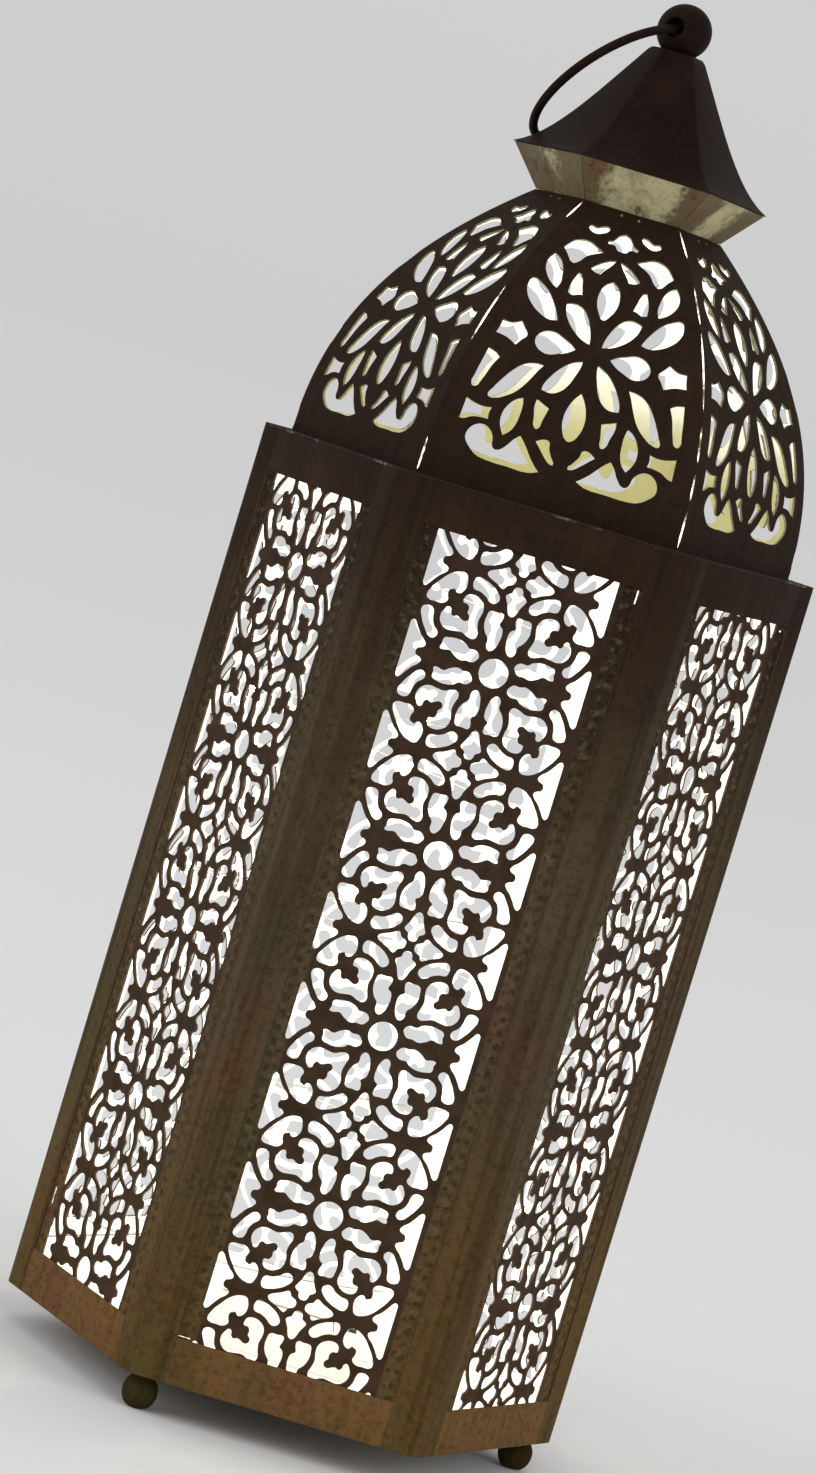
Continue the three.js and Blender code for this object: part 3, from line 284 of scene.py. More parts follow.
def node(tree, kind, settings=None, values=None, output=0):
    """Adds a node: its settings first, then the values or links of its sockets. Gives one output."""
    made = tree.nodes.new(kind)
    for name, value in (settings or {}).items():
        setattr(made, name, value)
    for name, value in (values or {}).items():
        socket = made.inputs[name]
        if isinstance(value, Wire):
            tree.links.new(value.socket, socket)
        elif isinstance(value, (tuple, list, Vector)) and socket.type == "RGBA":
            socket.default_value = (*value[:3], 1.0)
        else:
            socket.default_value = value
    return Wire(tree, made.outputs[output])


def mixed(tree, factor, first, second):
    """A Mix node of two colours."""
    values = {0: factor, 6: first, 7: second}
    return node(tree, "ShaderNodeMix", {"data_type": "RGBA"}, values, output=2)


def darker(tone, share):
    """A share of a colour."""
    return tuple(x * share for x in tone)


class Finish:
    """A material under construction, with short ways to the textures that it uses."""

    def __init__(self, name):
        self.material = bpy.data.materials.new(name)
        self.material.use_nodes = True
        self.tree = self.material.node_tree
        self.shader = self.tree.nodes["Principled BSDF"]

    def place(self):
        """The piece's own coordinates, which are the lantern's."""
        return node(self.tree, "ShaderNodeTexCoord", output="Object")

    def flat_place(self):
        """The place on a pierced sheet while it was flat."""
        return node(self.tree, "ShaderNodeUVMap", {"uv_map": "sheet"})

    def parts(self, vector):
        """The three numbers of a vector."""
        made = node(self.tree, "ShaderNodeSeparateXYZ", values={0: vector})
        outputs = made.socket.node.outputs
        return [Wire(self.tree, outputs[i]) for i in range(3)]

    def stretched(self, vector, scale, offset=(0, 0, 0)):
        """Coordinates that draw a pattern longer where the scale is small, and shifted."""
        values = {"Vector": vector, "Location": offset, "Scale": scale}
        return node(self.tree, "ShaderNodeMapping", values=values)

    def noise(self, vector, scale, detail=4.0, roughness=0.55, distortion=0.0):
        """Soft blotches, so many to the metre."""
        values = {"Vector": vector, "Scale": scale, "Detail": detail, "Roughness": roughness}
        values["Distortion"] = distortion
        return node(self.tree, "ShaderNodeTexNoise", values=values)

    def cells(self, vector, scale):
        """Distance to the nearest of many scattered points."""
        return node(self.tree, "ShaderNodeTexVoronoi", values={"Vector": vector, "Scale": scale})

    def mix(self, factor, first, second):
        """The first colour, turning to the second as the factor goes to one."""
        return mixed(self.tree, factor, first, second)

    def bump(self, height, distance, strength=1.0, normal=None):
        """Relief of a height, over another relief if one is given."""
        values = {"Height": height, "Distance": distance, "Strength": strength}
        if normal is not None:
            values["Normal"] = normal
        return node(self.tree, "ShaderNodeBump", values=values)

    def set(self, **values):
        """Gives the shader its sockets, by names with _ for a space."""
        for name, value in values.items():
            socket = self.shader.inputs[name.replace("_", " ")]
            if isinstance(value, Wire):
                self.tree.links.new(value.socket, socket)
            elif socket.type == "RGBA":
                socket.default_value = (*value[:3], 1.0)
            else:
                socket.default_value = value
        return self.material


def colours():
    """The group of the finishes' colours."""
    return bpy.context.scene.lantern_finish


def patina(name, tones, rust_share, rust_depth=0.6, streak=0.38, border=False):
    """Aged sheet iron: tones blended up its height, rust and moss low down, run marks and a fine grain."""
    f = Finish(name)
    c = colours()
    place = f.place()
    height = f.parts(place)[2]
    cloud = f.noise(place, 13, 4, 0.55)
    speckle = f.noise(place, 330, 4, 0.7)
    run = f.noise(f.stretched(place, (1, 1, 0.03)), 210, 3, 0.6)
    level = height + (cloud - 0.5) * 0.16
    low, middle, high = tones
    base = f.mix(level.between(0.03, 0.2), low, middle)
    base = f.mix(level.between(0.24, 0.42), base, high)
    shade = darker(high, 0.4)
    worn = 1 - level.between(0.12, 0.4) * 0.9
    patch = f.noise(f.stretched(place, (1, 1, 0.6), (3.1, 1.7, 0.4)), 17, 5, 0.6)
    rust = (patch * 0.85 + speckle * 0.15).between(0.56 - rust_share, 0.74 - rust_share)
    base = f.mix(rust * worn * rust_depth, base, tuple(c.rust))
    pale = f.noise(f.stretched(place, (1, 1, 0.3), (7.3, 2.9, 5.2)), 34, 5, 0.7)
    bloom = (pale * 0.7 + speckle * 0.3).between(0.5, 0.75)
    base = f.mix(bloom * worn * 0.55, base, tuple(c.bloom))
    moss = f.noise(f.stretched(place, (1, 1, 0.35), (1.3, 4.1, 2.2)), 26, 4, 0.6)
    base = f.mix(moss.between(0.5, 0.68) * worn * 0.45, base, tuple(c.moss))
    base = f.mix(run.between(0.4, 0.64) * streak, base, shade)
    pits = f.cells(place, 800).between(0.0, 0.35)
    base = f.mix((1 - pits) * 0.45, base, shade)
    base = f.mix(speckle.between(0.42, 0.72) * 0.45, base, shade)
    roughness = 0.62 + rust * 0.15 + (run - 0.5) * 0.2 + (speckle - 0.5) * 0.2
    surface = cloud * 0.5 + speckle * 0.06 + pits * 0.05 + run * 0.05
    normal = f.bump(surface, 0.0012, 0.5)
    if border:
        u, v, _ = f.parts(f.flat_place())
        base, normal = embossed(f, base, normal, u, v)
    return f.set(Base_Color=base, Roughness=roughness, Metallic=0.0, Normal=normal, Specular_IOR_Level=0.03)


def embossed(f, base, normal, u, v):
    """Darker webs in a panel's window, and two ragged rows of pits pressed in up each border."""
    inset = abs(u) - bpy.context.scene.lantern_pattern.repeat / 2
    web = 1 - inset.between(-0.0006, 0.0006)
    grain = f.noise(f.place(), 120, 4, 0.6).between(0.35, 0.7)
    tone = tuple(colours().web)
    base = f.mix(web * 0.8, base, f.mix(grain, tone, darker(tone, 0.55)))
    strip = inset.between(0.0, 0.0008) * (1 - inset.between(0.0078, 0.0088))
    wander = (f.noise(f.flat_place(), 150, 3, 0.6) - 0.5) * 0.0045
    rough = f.noise(f.stretched(f.flat_place(), (1, 1, 1), (0.7, 0.3, 0)), 260, 4, 0.65)

    def pits(across, shift, radius, row):
        """A row of pits at a distance across from the window, by its shift, pit radius and spacing."""
        along = v + wander + shift
        turn = along.math("PINGPONG", along, row / 2)
        far = ((inset + wander * 0.7 - across) ** 2 + turn**2) ** 0.5
        return 1 - far.between(radius * 0.25, radius)

    pressed = (pits(0.0053, 0.0, 0.0022, 0.0061) + pits(0.0017, 0.0028, 0.0014, 0.0074)) * strip
    dark = f.mix(pressed * rough.between(0.3, 0.6) * 0.7, base, darker(colours().umber, 0.5))
    dark = f.mix(strip * rough.between(0.5, 0.66) * 0.35, dark, tuple(colours().bloom))
    return dark, f.bump((rough * 0.7 - pressed) * strip, 0.0009, 0.7, normal)


def cut_finish(name, tone):
    """Edge of a sheet where an opening is cut, a little ragged."""
    f = Finish(name)
    grain = f.noise(f.place(), 700, 3, 0.6)
    base = f.mix(grain.between(0.3, 0.7), tone, darker(tone, 0.6))
    return f.set(Base_Color=base, Roughness=0.5 + grain * 0.3, Specular_IOR_Level=0.3)


def lit_inside(name, tone, high_tone, glow, dim=1.0):
    """Bare inner side of a sheet with a painted glow, an emission that stands in for the lamps' light, and
    another tone high in the dome.
    """
    f = Finish(name)
    place = f.place()
    cloud = f.noise(place, 22, 4, 0.6)
    speckle = f.noise(place, 300, 3, 0.6)
    climb = (f.parts(place)[2] + (cloud - 0.5) * 0.03).between(0.45, 0.5)
    washed = f.mix(climb, tone, high_tone)
    base = f.mix(speckle.between(0.5, 0.8) * 0.15, washed, darker(tone, 0.6))
    roughness = 0.55 + (speckle - 0.5) * 0.2
    # Painted light: the emission, dimmed by dim low in the dome and mottled by the cloud, stands in for the
    # lamps' light.
    light = f.mix(climb, darker(tone, dim), high_tone)
    light = f.mix(cloud.between(0.3, 0.8) * 0.12, light, darker(tone, dim * 0.7))
    normal = f.bump(cloud * 0.6 + speckle * 0.2, 0.0008, 0.4)
    f.set(Base_Color=base, Roughness=roughness, Metallic=0.1, Normal=normal)
    return f.set(Emission_Color=light, Emission_Strength=glow)


def lit_seam_finish(name):
    """Sides of an open seam, with a painted glow in ragged bright lines that stands in for the lamps' light
    coming out.
    """
    f = Finish(name)
    place = f.place()
    ragged = (f.noise(place, 90, 3, 0.7) * 0.7 + f.noise(place, 400, 3, 0.6) * 0.3).between(0.4, 0.55)
    # Painted light: ragged bright emission on the seams' sheet edges.
    light = f.mix(ragged, (0.12, 0.09, 0.05), (1.0, 0.94, 0.8))
    return f.set(Base_Color=light, Roughness=0.6, Emission_Color=light, Emission_Strength=1.3)


def worn_edge_highlight_finish(name):
    """Edge of the rim, rubbed bright in places: partly wear, partly a painted highlight along the rim's edge.
    """
    f = Finish(name)
    place = f.place()
    rubbed_and_highlight = (f.noise(place, 24, 3, 0.6) * 0.7 + f.noise(place, 300, 3, 0.6) * 0.3).between(0.52, 0.66)
    # Painted highlight: the light, more metallic patches stand for light on the rim's edge as well as wear.
    base = f.mix(rubbed_and_highlight * 0.8, tuple(colours().umber), (0.25, 0.22, 0.18))
    roughness = 0.7 - rubbed_and_highlight * 0.25
    return f.set(Base_Color=base, Roughness=roughness, Metallic=rubbed_and_highlight * 0.4, Specular_IOR_Level=0.1)


def skirt_finish(name):
    """Cream and olive worn metal, browned at its corners, with painted shade on its faces towards -X and,
    less, towards +X, and with rust that has run down from the seams.
    """
    f = Finish(name)
    c = colours()
    place = f.place()
    x, y, _ = f.parts(place)
    turn = y.math("ARCTAN2", y, x) * SIDES
    corner = turn.math("COSINE", turn)
    cloud = f.noise(place, 48, 5, 0.65)
    speckle = f.noise(place, 420, 4, 0.65)
    run = f.noise(f.stretched(place, (1, 1, 0.25), (0.3, 0.8, 0.1)), 120, 5, 0.7, 0.4)
    # Painted shade: side darkens the skirt's faces towards -X, and less those towards +X.
    side = x.between(-0.03, -0.016, 0.32, 0.0) + x.between(0.014, 0.03, 0.0, 0.14)
    brown_and_painted_shade = (corner * 0.2 + side + cloud * 0.7 + speckle * 0.3).between(0.46, 0.68)
    base = f.mix((cloud * 0.5 + run * 0.5).between(0.42, 0.66), tuple(c.skirt), (0.26, 0.215, 0.115))
    base = f.mix(brown_and_painted_shade * 0.85, base, (0.09, 0.06, 0.026))
    rust = (run * 0.6 + cloud * 0.4 + corner * 0.03).between(0.56, 0.66)
    base = f.mix(rust * 0.75, base, (0.24, 0.085, 0.04))
    base = f.mix(run.between(0.58, 0.72) * 0.75, base, (0.035, 0.022, 0.012))
    base = f.mix(speckle.between(0.5, 0.75) * 0.4, base, (0.06, 0.045, 0.022))
    roughness = 0.55 + (cloud - 0.5) * 0.3 + (speckle - 0.5) * 0.2
    normal = f.bump(cloud * 0.5 + speckle * 0.15 + run * 0.3, 0.001, 0.6)
    return f.set(Base_Color=base, Roughness=roughness, Metallic=0.0, Normal=normal, Specular_IOR_Level=0.08)


def cap_finish(name):
    """Near-black patina with a soft sheen."""
    f = Finish(name)
    c = colours()
    place = f.place()
    cloud = f.noise(place, 40, 5, 0.6)
    speckle = f.noise(place, 380, 4, 0.6)
    base = f.mix(cloud.between(0.35, 0.75), tuple(c.cap), (0.02, 0.0095, 0.0065))
    base = f.mix(speckle.between(0.5, 0.75) * 0.5, base, (0.032, 0.018, 0.013))
    roughness = 0.55 + (cloud - 0.5) * 0.25 + (speckle - 0.5) * 0.2
    normal = f.bump(cloud * 0.6 + speckle * 0.08, 0.001, 0.5)
    return f.set(Base_Color=base, Roughness=roughness, Metallic=0.0, Normal=normal, Specular_IOR_Level=0.03)


def hardware_finish(name):
    """Steel of hinges, pins, nuts and the latch, dulled and spotted with rust."""
    f = Finish(name)
    place = f.place()
    cloud = f.noise(place, 90, 5, 0.65)
    speckle = f.noise(place, 600, 4, 0.6)
    base = f.mix(cloud.between(0.35, 0.7), (0.22, 0.19, 0.13), (0.1, 0.075, 0.045))
    base = f.mix(speckle.between(0.55, 0.75) * 0.6, base, (0.14, 0.05, 0.025))
    roughness = 0.42 + (cloud - 0.5) * 0.4
    normal = f.bump(cloud * 0.4 + speckle * 0.2, 0.0006, 0.6)
    return f.set(Base_Color=base, Roughness=roughness, Metallic=0.7, Normal=normal)


def plastic_finish(name, tone, shade):
    """Moulded plastic with a fine spark-eroded grain."""
    f = Finish(name)
    place = f.place()
    grain = f.noise(place, 1500, 3, 0.6)
    cloud = f.noise(place, 30, 4, 0.5)
    base = f.mix(cloud.between(0.3, 0.8) * 0.5, tone, shade)
    roughness = 0.4 + (grain - 0.5) * 0.3
    return f.set(Base_Color=base, Roughness=roughness, Normal=f.bump(grain, 0.0002, 0.4))


def cell_finish(name):
    """Printed sleeve of a dry cell: a dark band at one end over a green ground."""
    f = Finish(name)
    place = f.place()
    across = f.parts(place)[0]
    grain = f.noise(place, 900, 3, 0.5)
    band = (across + 0.02).between(-0.001, 0.001)
    base = f.mix(band, (0.02, 0.02, 0.022), (0.05, 0.14, 0.07))
    roughness = 0.3 + (grain - 0.5) * 0.2
    return f.set(Base_Color=base, Roughness=roughness, Metallic=0.3, Normal=f.bump(grain, 0.0001, 0.3))


def wire_finish(name):
    """Thin bare wire, slightly dulled."""
    f = Finish(name)
    grain = f.noise(f.place(), 1200, 3, 0.6)
    roughness = 0.25 + grain * 0.25
    tint = f.mix(grain, (0.7, 0.7, 0.68), (0.5, 0.49, 0.46))
    return f.set(Base_Color=tint, Roughness=roughness, Metallic=0.9)


def bead_finish(name):
    """Clear cast bead with a faint cloudiness."""
    f = Finish(name)
    cloud = f.noise(f.place(), 700, 2, 0.5)
    return f.set(
        Base_Color=(1.0, 0.97, 0.9),
        Roughness=0.06 + cloud * 0.1,
        Transmission_Weight=1.0,
        IOR=1.45,
        Emission_Color=tuple(colours().lamp),
        Emission_Strength=0.6,
    )


def lamp_finish(name):
    """The glowing lamp inside a bead, hotter in the middle."""
    f = Finish(name)
    spot = f.noise(f.place(), 900, 2, 0.5)
    glow = f.mix(spot.between(0.3, 0.7), tuple(colours().lamp), (1.0, 0.95, 0.85))
    return f.set(Base_Color=(1.0, 0.9, 0.7), Roughness=0.4, Emission_Color=glow, Emission_Strength=45.0)


def floor_finish(name):
    """Plain pale paper with the faintest mottling."""
    f = Finish(name)
    tone = tuple(bpy.context.scene.lantern_stage.floor)
    cloud = f.noise(f.place(), 3, 3, 0.5)
    base = f.mix(cloud * 0.25, tone, darker(tone, 0.97))
    return f.set(Base_Color=base, Roughness=0.75)


# Materials made so far
MADE = {}


def finish(name):
    """The material of that name, made the first time it is asked for."""
    if name not in MADE:
        c = colours()
        umber, olive, warm, rail, foot = (tuple(t) for t in (c.umber, c.olive, c.warm, c.rail, c.foot))
        makers = {
            "body_patina": lambda: patina(name, (warm, olive, umber), 0.04),
            "rail_patina": lambda: patina(name, (rail, rail, umber), 0.08, 0.75, 0.15),
            "panel_patina": lambda: patina(name, (warm, olive, umber), 0.02, streak=0.1, border=True),
            "foot_patina": lambda: patina(name, (foot, foot, umber), -0.05, 0.5, 0.1),
            "dome_patina": lambda: patina(name, (umber, umber, umber), 0.0, streak=0.2),
            # Painted glow: body_inside and dome_inside give the inner sides an emission that stands in for
            # the lamps' light.
            "body_inside": lambda: lit_inside(name, tuple(c.inside), tuple(c.inside), 0.36),
            "dome_inside": lambda: lit_inside(name, tuple(c.dome_inside), tuple(c.inside), 0.62, 0.5),
            "cut_edge": lambda: cut_finish(name, (0.13, 0.075, 0.045)),
            "worn_edge_highlight": lambda: worn_edge_highlight_finish(name),
            "dome_cut_edge": lambda: cut_finish(name, (0.3, 0.27, 0.17)),
            # lit_seam is a painted glow on the edges of the dome's open seams.
            "lit_seam": lambda: lit_seam_finish(name),
            "cap_patina": lambda: cap_finish(name),
            "skirt_patina": lambda: skirt_finish(name),
            "hardware": lambda: hardware_finish(name),
            "white_plastic": lambda: plastic_finish(name, (0.78, 0.77, 0.72), (0.7, 0.68, 0.6)),
            "dark_plastic": lambda: plastic_finish(name, (0.03, 0.03, 0.032), (0.02, 0.02, 0.02)),
            "cell_sleeve": lambda: cell_finish(name),
            "string_wire": lambda: wire_finish(name),
            "clear_bead": lambda: bead_finish(name),
            "lamp_glow": lambda: lamp_finish(name),
            "floor_paper": lambda: floor_finish(name),
        }
        MADE[name] = makers[name]()
    return MADE[name]


# Making pieces


def turned(direction):
    """Turns something drawn on the front face, or drawn for -Y, to that direction."""
    return Matrix.Rotation(math.radians(direction + 90), 4, "Z")


def swung(direction):
    """Turns something drawn at the corner on +X to that direction."""
    return Matrix.Rotation(math.radians(direction), 4, "Z")


def finished(bm, name, finishes, body="lantern", nodes=(), place=None, sharp=35):
    """Makes the piece of a bmesh, in its place, with its finishes and the CAD nodes it stands for."""
    if not bm.faces:
        raise RuntimeError(f"{name} has no faces")
    if place is not None:
        bmesh.ops.transform(bm, matrix=place, verts=bm.verts)
    mesh = bpy.data.meshes.new(name)
    bm.to_mesh(mesh)
    bm.free()
    mesh.shade_smooth()
    mesh.set_sharp_from_angle(angle=math.radians(sharp))
    for label in finishes:
        mesh.materials.append(finish(label))
    piece = bpy.data.objects.new(name, mesh)
    bpy.context.scene.collection.objects.link(piece)
    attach(piece, body)
    if nodes:
        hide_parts(*nodes)
    return piece


def bevelled(bm, edges, width, segments=2):
    """Rounds edges to a width."""
    bmesh.ops.bevel(
        bm, geom=list(edges), offset=width, offset_type="OFFSET", segments=segments, profile=0.5,
        affect="EDGES", clamp_overlap=True, material=-1,
    )


def hard_edges(bm, least=50):
    """Edges whose two faces meet at more than so many degrees."""
    limit = math.radians(least)
    return [e for e in bm.edges if len(e.link_faces) == 2 and e.calc_face_angle(0) > limit]


def flip_outward(bm, inside):
    """Turns an open sheet's faces so that their sum looks away from a point inside."""
    bm.normal_update()
    total = sum(f.normal.dot(f.calc_center_median() - inside) * f.calc_area() for f in bm.faces)
    if total < 0:
        bmesh.ops.reverse_faces(bm, faces=bm.faces[:])


def faced(bm):
    """Turns what points up to the front, and what points back upwards."""
    bmesh.ops.rotate(bm, verts=bm.verts, matrix=Matrix.Rotation(math.pi / 2, 3, "X"))


def shifted(bm, way):
    """Moves a whole shape."""
    bmesh.ops.translate(bm, vec=way, verts=bm.verts)


def spun(points, steps, axis=(0, 0, 1)):
    """A profile of points, turned right round an axis. Ends on the axis close by themselves."""
    bm = bmesh.new()
    corners = [bm.verts.new(p) for p in points]
    edges = [bm.edges.new(pair) for pair in zip(corners, corners[1:])]
    geometry = [*corners, *edges]
    bmesh.ops.spin(bm, geom=geometry, cent=(0, 0, 0), axis=axis, angle=math.tau, steps=steps, use_merge=True)
    bmesh.ops.remove_doubles(bm, verts=bm.verts, dist=1e-6)
    bmesh.ops.dissolve_degenerate(bm, edges=bm.edges, dist=1e-7)
    bmesh.ops.recalc_face_normals(bm, faces=bm.faces[:])
    return bm


def weighed(weights, points):
    """The sum of plane points, each times its weight."""
    return tuple(sum(w * p[j] for w, p in zip(weights, points)) for j in range(2))


def rounded_line(points, steps):
    """A smooth line through the points, with so many steps from one to the next."""
    line = []
    for i in range(len(points) - 1):
        p0, p1, p2 = points[max(i - 1, 0)], points[i], points[i + 1]
        p3 = points[min(i + 2, len(points) - 1)]
        for k in range(steps):
            t = k / steps
            before, after = (-t + 2 * t * t - t**3) / 2, (t**3 - t * t) / 2
            start, end = (2 - 5 * t * t + 3 * t**3) / 2, (t + 4 * t * t - 3 * t**3) / 2
            line.append(weighed((before, start, end, after), (p0, p1, p2, p3)))
    return [*line, tuple(points[-1])]


def softened_mesh(node_name, width, segments=2):
    """A copy of a CAD node with its triangles merged back to faces and its sharp edges worn round."""
    bm = bmesh.new()
    bm.from_mesh(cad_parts[node_name].data)
    bmesh.ops.remove_doubles(bm, verts=bm.verts, dist=1e-6)
    bmesh.ops.dissolve_limit(bm, angle_limit=math.radians(1), verts=bm.verts, edges=bm.edges)
    bevelled(bm, hard_edges(bm, 25), width, segments)
    return bm


def softened(node_name, label, width, body="lantern", segments=2):
    """The piece of a softened copy that has one finish."""
    bm = softened_mesh(node_name, width, segments)
    return finished(bm, f"worn_{node_name}", [label], body, [node_name])


# Body

# Steps across the fold of a post, and round the rim's corner over it
FOLD_STEPS = 7


def fold_width(body):
    """How far from its corner a post's fold starts."""
    return body.post_bend * math.tan(math.pi / SIDES)


def post_sheet(c):
    """A folded post at the corner on +X."""
    height = c.rim_top - c.rim_sheet - c.wall_bottom
    bm = bmesh.new()
    end = (c.corner_radius - c.post_flange / 2, c.post_flange * FLAT)
    line = [(end[0], -end[1]), (c.corner_radius, 0), end]
    corners = [bm.verts.new((x, y, c.wall_bottom)) for x, y in line]
    edges = [bm.edges.new(pair) for pair in zip(corners, corners[1:])]
    made = bmesh.ops.extrude_edge_only(bm, edges=edges)["geom"]
    bmesh.ops.translate(bm, verts=[v for v in made if isinstance(v, bmesh.types.BMVert)], vec=(0, 0, height))
    fold = [e for e in bm.edges if len(e.link_faces) == 2]
    bevelled(bm, fold, fold_width(c), FOLD_STEPS)
    flip_outward(bm, Vector((0, 0, height / 2)))
    bmesh.ops.solidify(bm, geom=bm.faces[:], thickness=c.sheet)
    bevelled(bm, hard_edges(bm, 60), c.edge)
    part_sides(bm, lambda centre: Vector((FLAT, math.copysign(0.5, centre.y), 0)))
    return bm


class LANTERN_OT_posts(bpy.types.Operator):
    """Folds the six corner posts"""

    bl_idname = "lantern.posts"
    bl_label = "Corner posts"

    def execute(self, context):
        for corner, direction in CORNERS.items():
            bm = post_sheet(context.scene.lantern_body)
            node_name = f"corner_post_{corner}"
            finishes = ["body_patina", "body_inside", "cut_edge"]
            finished(bm, f"post_{corner}", finishes, "lantern", [node_name], swung(direction))
        return {"FINISHED"}


class LANTERN_OT_rails(bpy.types.Operator):
    """Wears round the edges of the rails, the base, the door's frame and its stop"""

    bl_idname = "lantern.rails"
    bl_label = "Rails and flat strips"

    def execute(self, context):
        c = context.scene.lantern_body
        edge = c.edge
        for face, direction in FACES.items():
            for kind in ("bottom_rail", "top_rail"):
                bm = softened_mesh(f"{kind}_{face}", edge)
                self.close_seams(bm, c, direction)
                out = turned(direction).to_3x3() @ Vector((0, -1, 0))
                part_sides(bm, lambda centre, out=out: out)
                nodes = [f"{kind}_{face}"]
                finishes = ["rail_patina", "body_inside", "rail_patina"]
                finished(bm, f"worn_{kind}_{face}", finishes, "lantern", nodes)
        bm = softened_mesh("base_plate", edge)
        part_sides(bm, lambda centre: Vector((0, 0, -1)))
        finishes = ["body_patina", "body_inside", "body_patina"]
        finished(bm, "worn_base_plate", finishes, "lantern", ["base_plate"])
        out = turned(FACES[DOOR_FACE]).to_3x3() @ Vector((0, -1, 0))
        for node_name, carrier in (("door_stop", "lantern"), ("door_frame", "door")):
            bm = softened_mesh(node_name, edge)
            part_sides(bm, lambda centre: out)
            finished(bm, f"worn_{node_name}", finishes, carrier, [node_name])
        for corner in FOOT_CORNERS:
            softened(f"foot_nut_{corner}", "hardware", edge)
        softened("finial_nut", "hardware", edge)
        return {"FINISHED"}

    def close_seams(self, bm, body, direction):
        """Moves a rail's ends to the posts beside it, and its top to the rim."""
        along = turned(direction).to_3x3() @ Vector((1, 0, 0))
        end = body.corner_radius / 2 - body.post_flange - 2 * MM
        top = body.rim_top - body.rim_sheet - MM
        for vert in bm.verts:
            place = vert.co.dot(along)
            if abs(place) > end:
                vert.co += along * math.copysign(body.seat_gap, place)
            if vert.co.z > top:
                vert.co.z += body.seat_gap


class LANTERN_OT_rim(bpy.types.Operator):
    """Cuts the six-sided rim that the dome stands on"""

    bl_idname = "lantern.rim"
    bl_label = "Rim"

    def execute(self, context):
        c = context.scene.lantern_body
        bm = bmesh.new()
        bmesh.ops.create_circle(bm, cap_ends=True, segments=SIDES, radius=c.corner_radius)
        first = bm.verts[:][0].co
        turn = -math.atan2(first.y, first.x)
        bmesh.ops.rotate(bm, verts=bm.verts, matrix=Matrix.Rotation(turn, 3, "Z"))
        width = (c.rim_ledge + c.rim_seat) * FLAT
        faces = bm.faces[:]
        bmesh.ops.inset_region(bm, faces=faces, thickness=width, use_even_offset=True, use_boundary=True)
        middle = min(bm.faces, key=lambda f: f.calc_center_median().length)
        bmesh.ops.delete(bm, geom=[middle], context="FACES")
        flip_outward(bm, Vector((0, 0, -1)))
        bmesh.ops.solidify(bm, geom=bm.faces[:], thickness=c.rim_sheet)
        upright = [e for e in bm.edges if abs(e.verts[0].co.z - e.verts[1].co.z) > c.rim_sheet / 2]
        outer = [e for e in upright if e.verts[0].co.xy.length > c.corner_radius * 0.99]
        bevelled(bm, outer, fold_width(c), FOLD_STEPS)
        bevelled(bm, hard_edges(bm, 60), c.edge * 1.6)
        part_sides(bm, lambda centre: Vector((0, 0, 1)), 0.95)
        place = Matrix.Translation((0, 0, c.rim_top))
        # The rim's third finish is its edge: wear with a painted highlight.
        finishes = ["dome_patina", "body_inside", "worn_edge_highlight"]
        finished(bm, "rim", finishes, "lantern", ["rim_ring"], place)
        return {"FINISHED"}


# A ball foot's line, as shares of its radius and height
FOOT_SHARES = [
    (0.0, 0.0), (0.3, 0.0), (0.62, 0.035), (0.88, 0.19), (1.0, 0.42), (0.92, 0.65), (0.68, 0.83), (0.5, 0.95),
]


class LANTERN_OT_feet(bpy.types.Operator):
    """Turns the three ball feet with their studs"""

    bl_idname = "lantern.feet"
    bl_label = "Ball feet"

    def execute(self, context):
        c = context.scene.lantern_body
        shoulder = c.wall_bottom + c.sheet
        ball = rounded_line([(x * c.foot_radius, z * c.wall_bottom) for x, z in FOOT_SHARES], 3)
        tip = c.stud_radius * 0.3
        line = [
            *ball,
            (ball[-1][0], shoulder),
            (c.stud_radius, shoulder),
            (c.stud_radius, c.stud_top - tip),
            (c.stud_radius - tip, c.stud_top),
            (0, c.stud_top),
        ]
        for corner in FOOT_CORNERS:
            bm = spun([(x, 0, z) for x, z in line], 28)
            place = swung(CORNERS[corner]) @ Matrix.Translation((c.corner_radius - c.foot_inset, 0, 0))
            node_name = f"ball_foot_{corner}"
            finished(bm, f"foot_{corner}", ["foot_patina"], "lantern", [node_name], place)
        return {"FINISHED"}


# Pierced sheets, drawn flat in millimetres as closed outlines


def mirrored(points, across=True, up=False):
    """Points mirrored left to right, or upside down, in the other order."""
    return [((-x if across else x), (-y if up else y)) for x, y in reversed(points)]


def whole(half):
    """A half outline from top to bottom on the right, closed with its mirror on the left."""
    return [*half, *[p for p in mirrored(half) if abs(p[0]) > 0.01]]


def flat_sheet(outline, openings):
    """A flat mesh of an outline with smooth openings, from one filled curve."""
    curve = bpy.data.curves.new("sheet", "CURVE")
    curve.dimensions, curve.fill_mode = "2D", "FRONT"
    for points, sharp in [(outline, range(len(outline))), *openings]:
        spline = curve.splines.new("BEZIER")
        spline.bezier_points.add(len(points) - 1)
        spline.use_cyclic_u = True
        spline.resolution_u = 1 if len(sharp) == len(points) else 3
        for i, (point, (x, y)) in enumerate(zip(spline.bezier_points, points)):
            point.co = (x * MM, y * MM, 0)
            kind = "VECTOR" if i in sharp else "AUTO"
            point.handle_left_type = point.handle_right_type = kind
    drawn = bpy.data.objects.new("sheet", curve)
    bpy.context.scene.collection.objects.link(drawn)
    bpy.context.view_layer.update()
    mesh = bpy.data.meshes.new_from_object(drawn.evaluated_get(bpy.context.evaluated_depsgraph_get()))
    bm = bmesh.new()
    bm.from_mesh(mesh)
    bpy.data.objects.remove(drawn)
    bpy.data.curves.remove(curve)
    bpy.data.meshes.remove(mesh)
    bmesh.ops.remove_doubles(bm, verts=bm.verts, dist=1e-6)
    return bm


def mark_flat(bm):
    """Writes each corner's place on the sheet to its UV map, in metres."""
    layer = bm.loops.layers.uv.new("sheet")
    for face in bm.faces:
        for loop in face.loops:
            loop[layer].uv = (loop.vert.co.x, loop.vert.co.z)


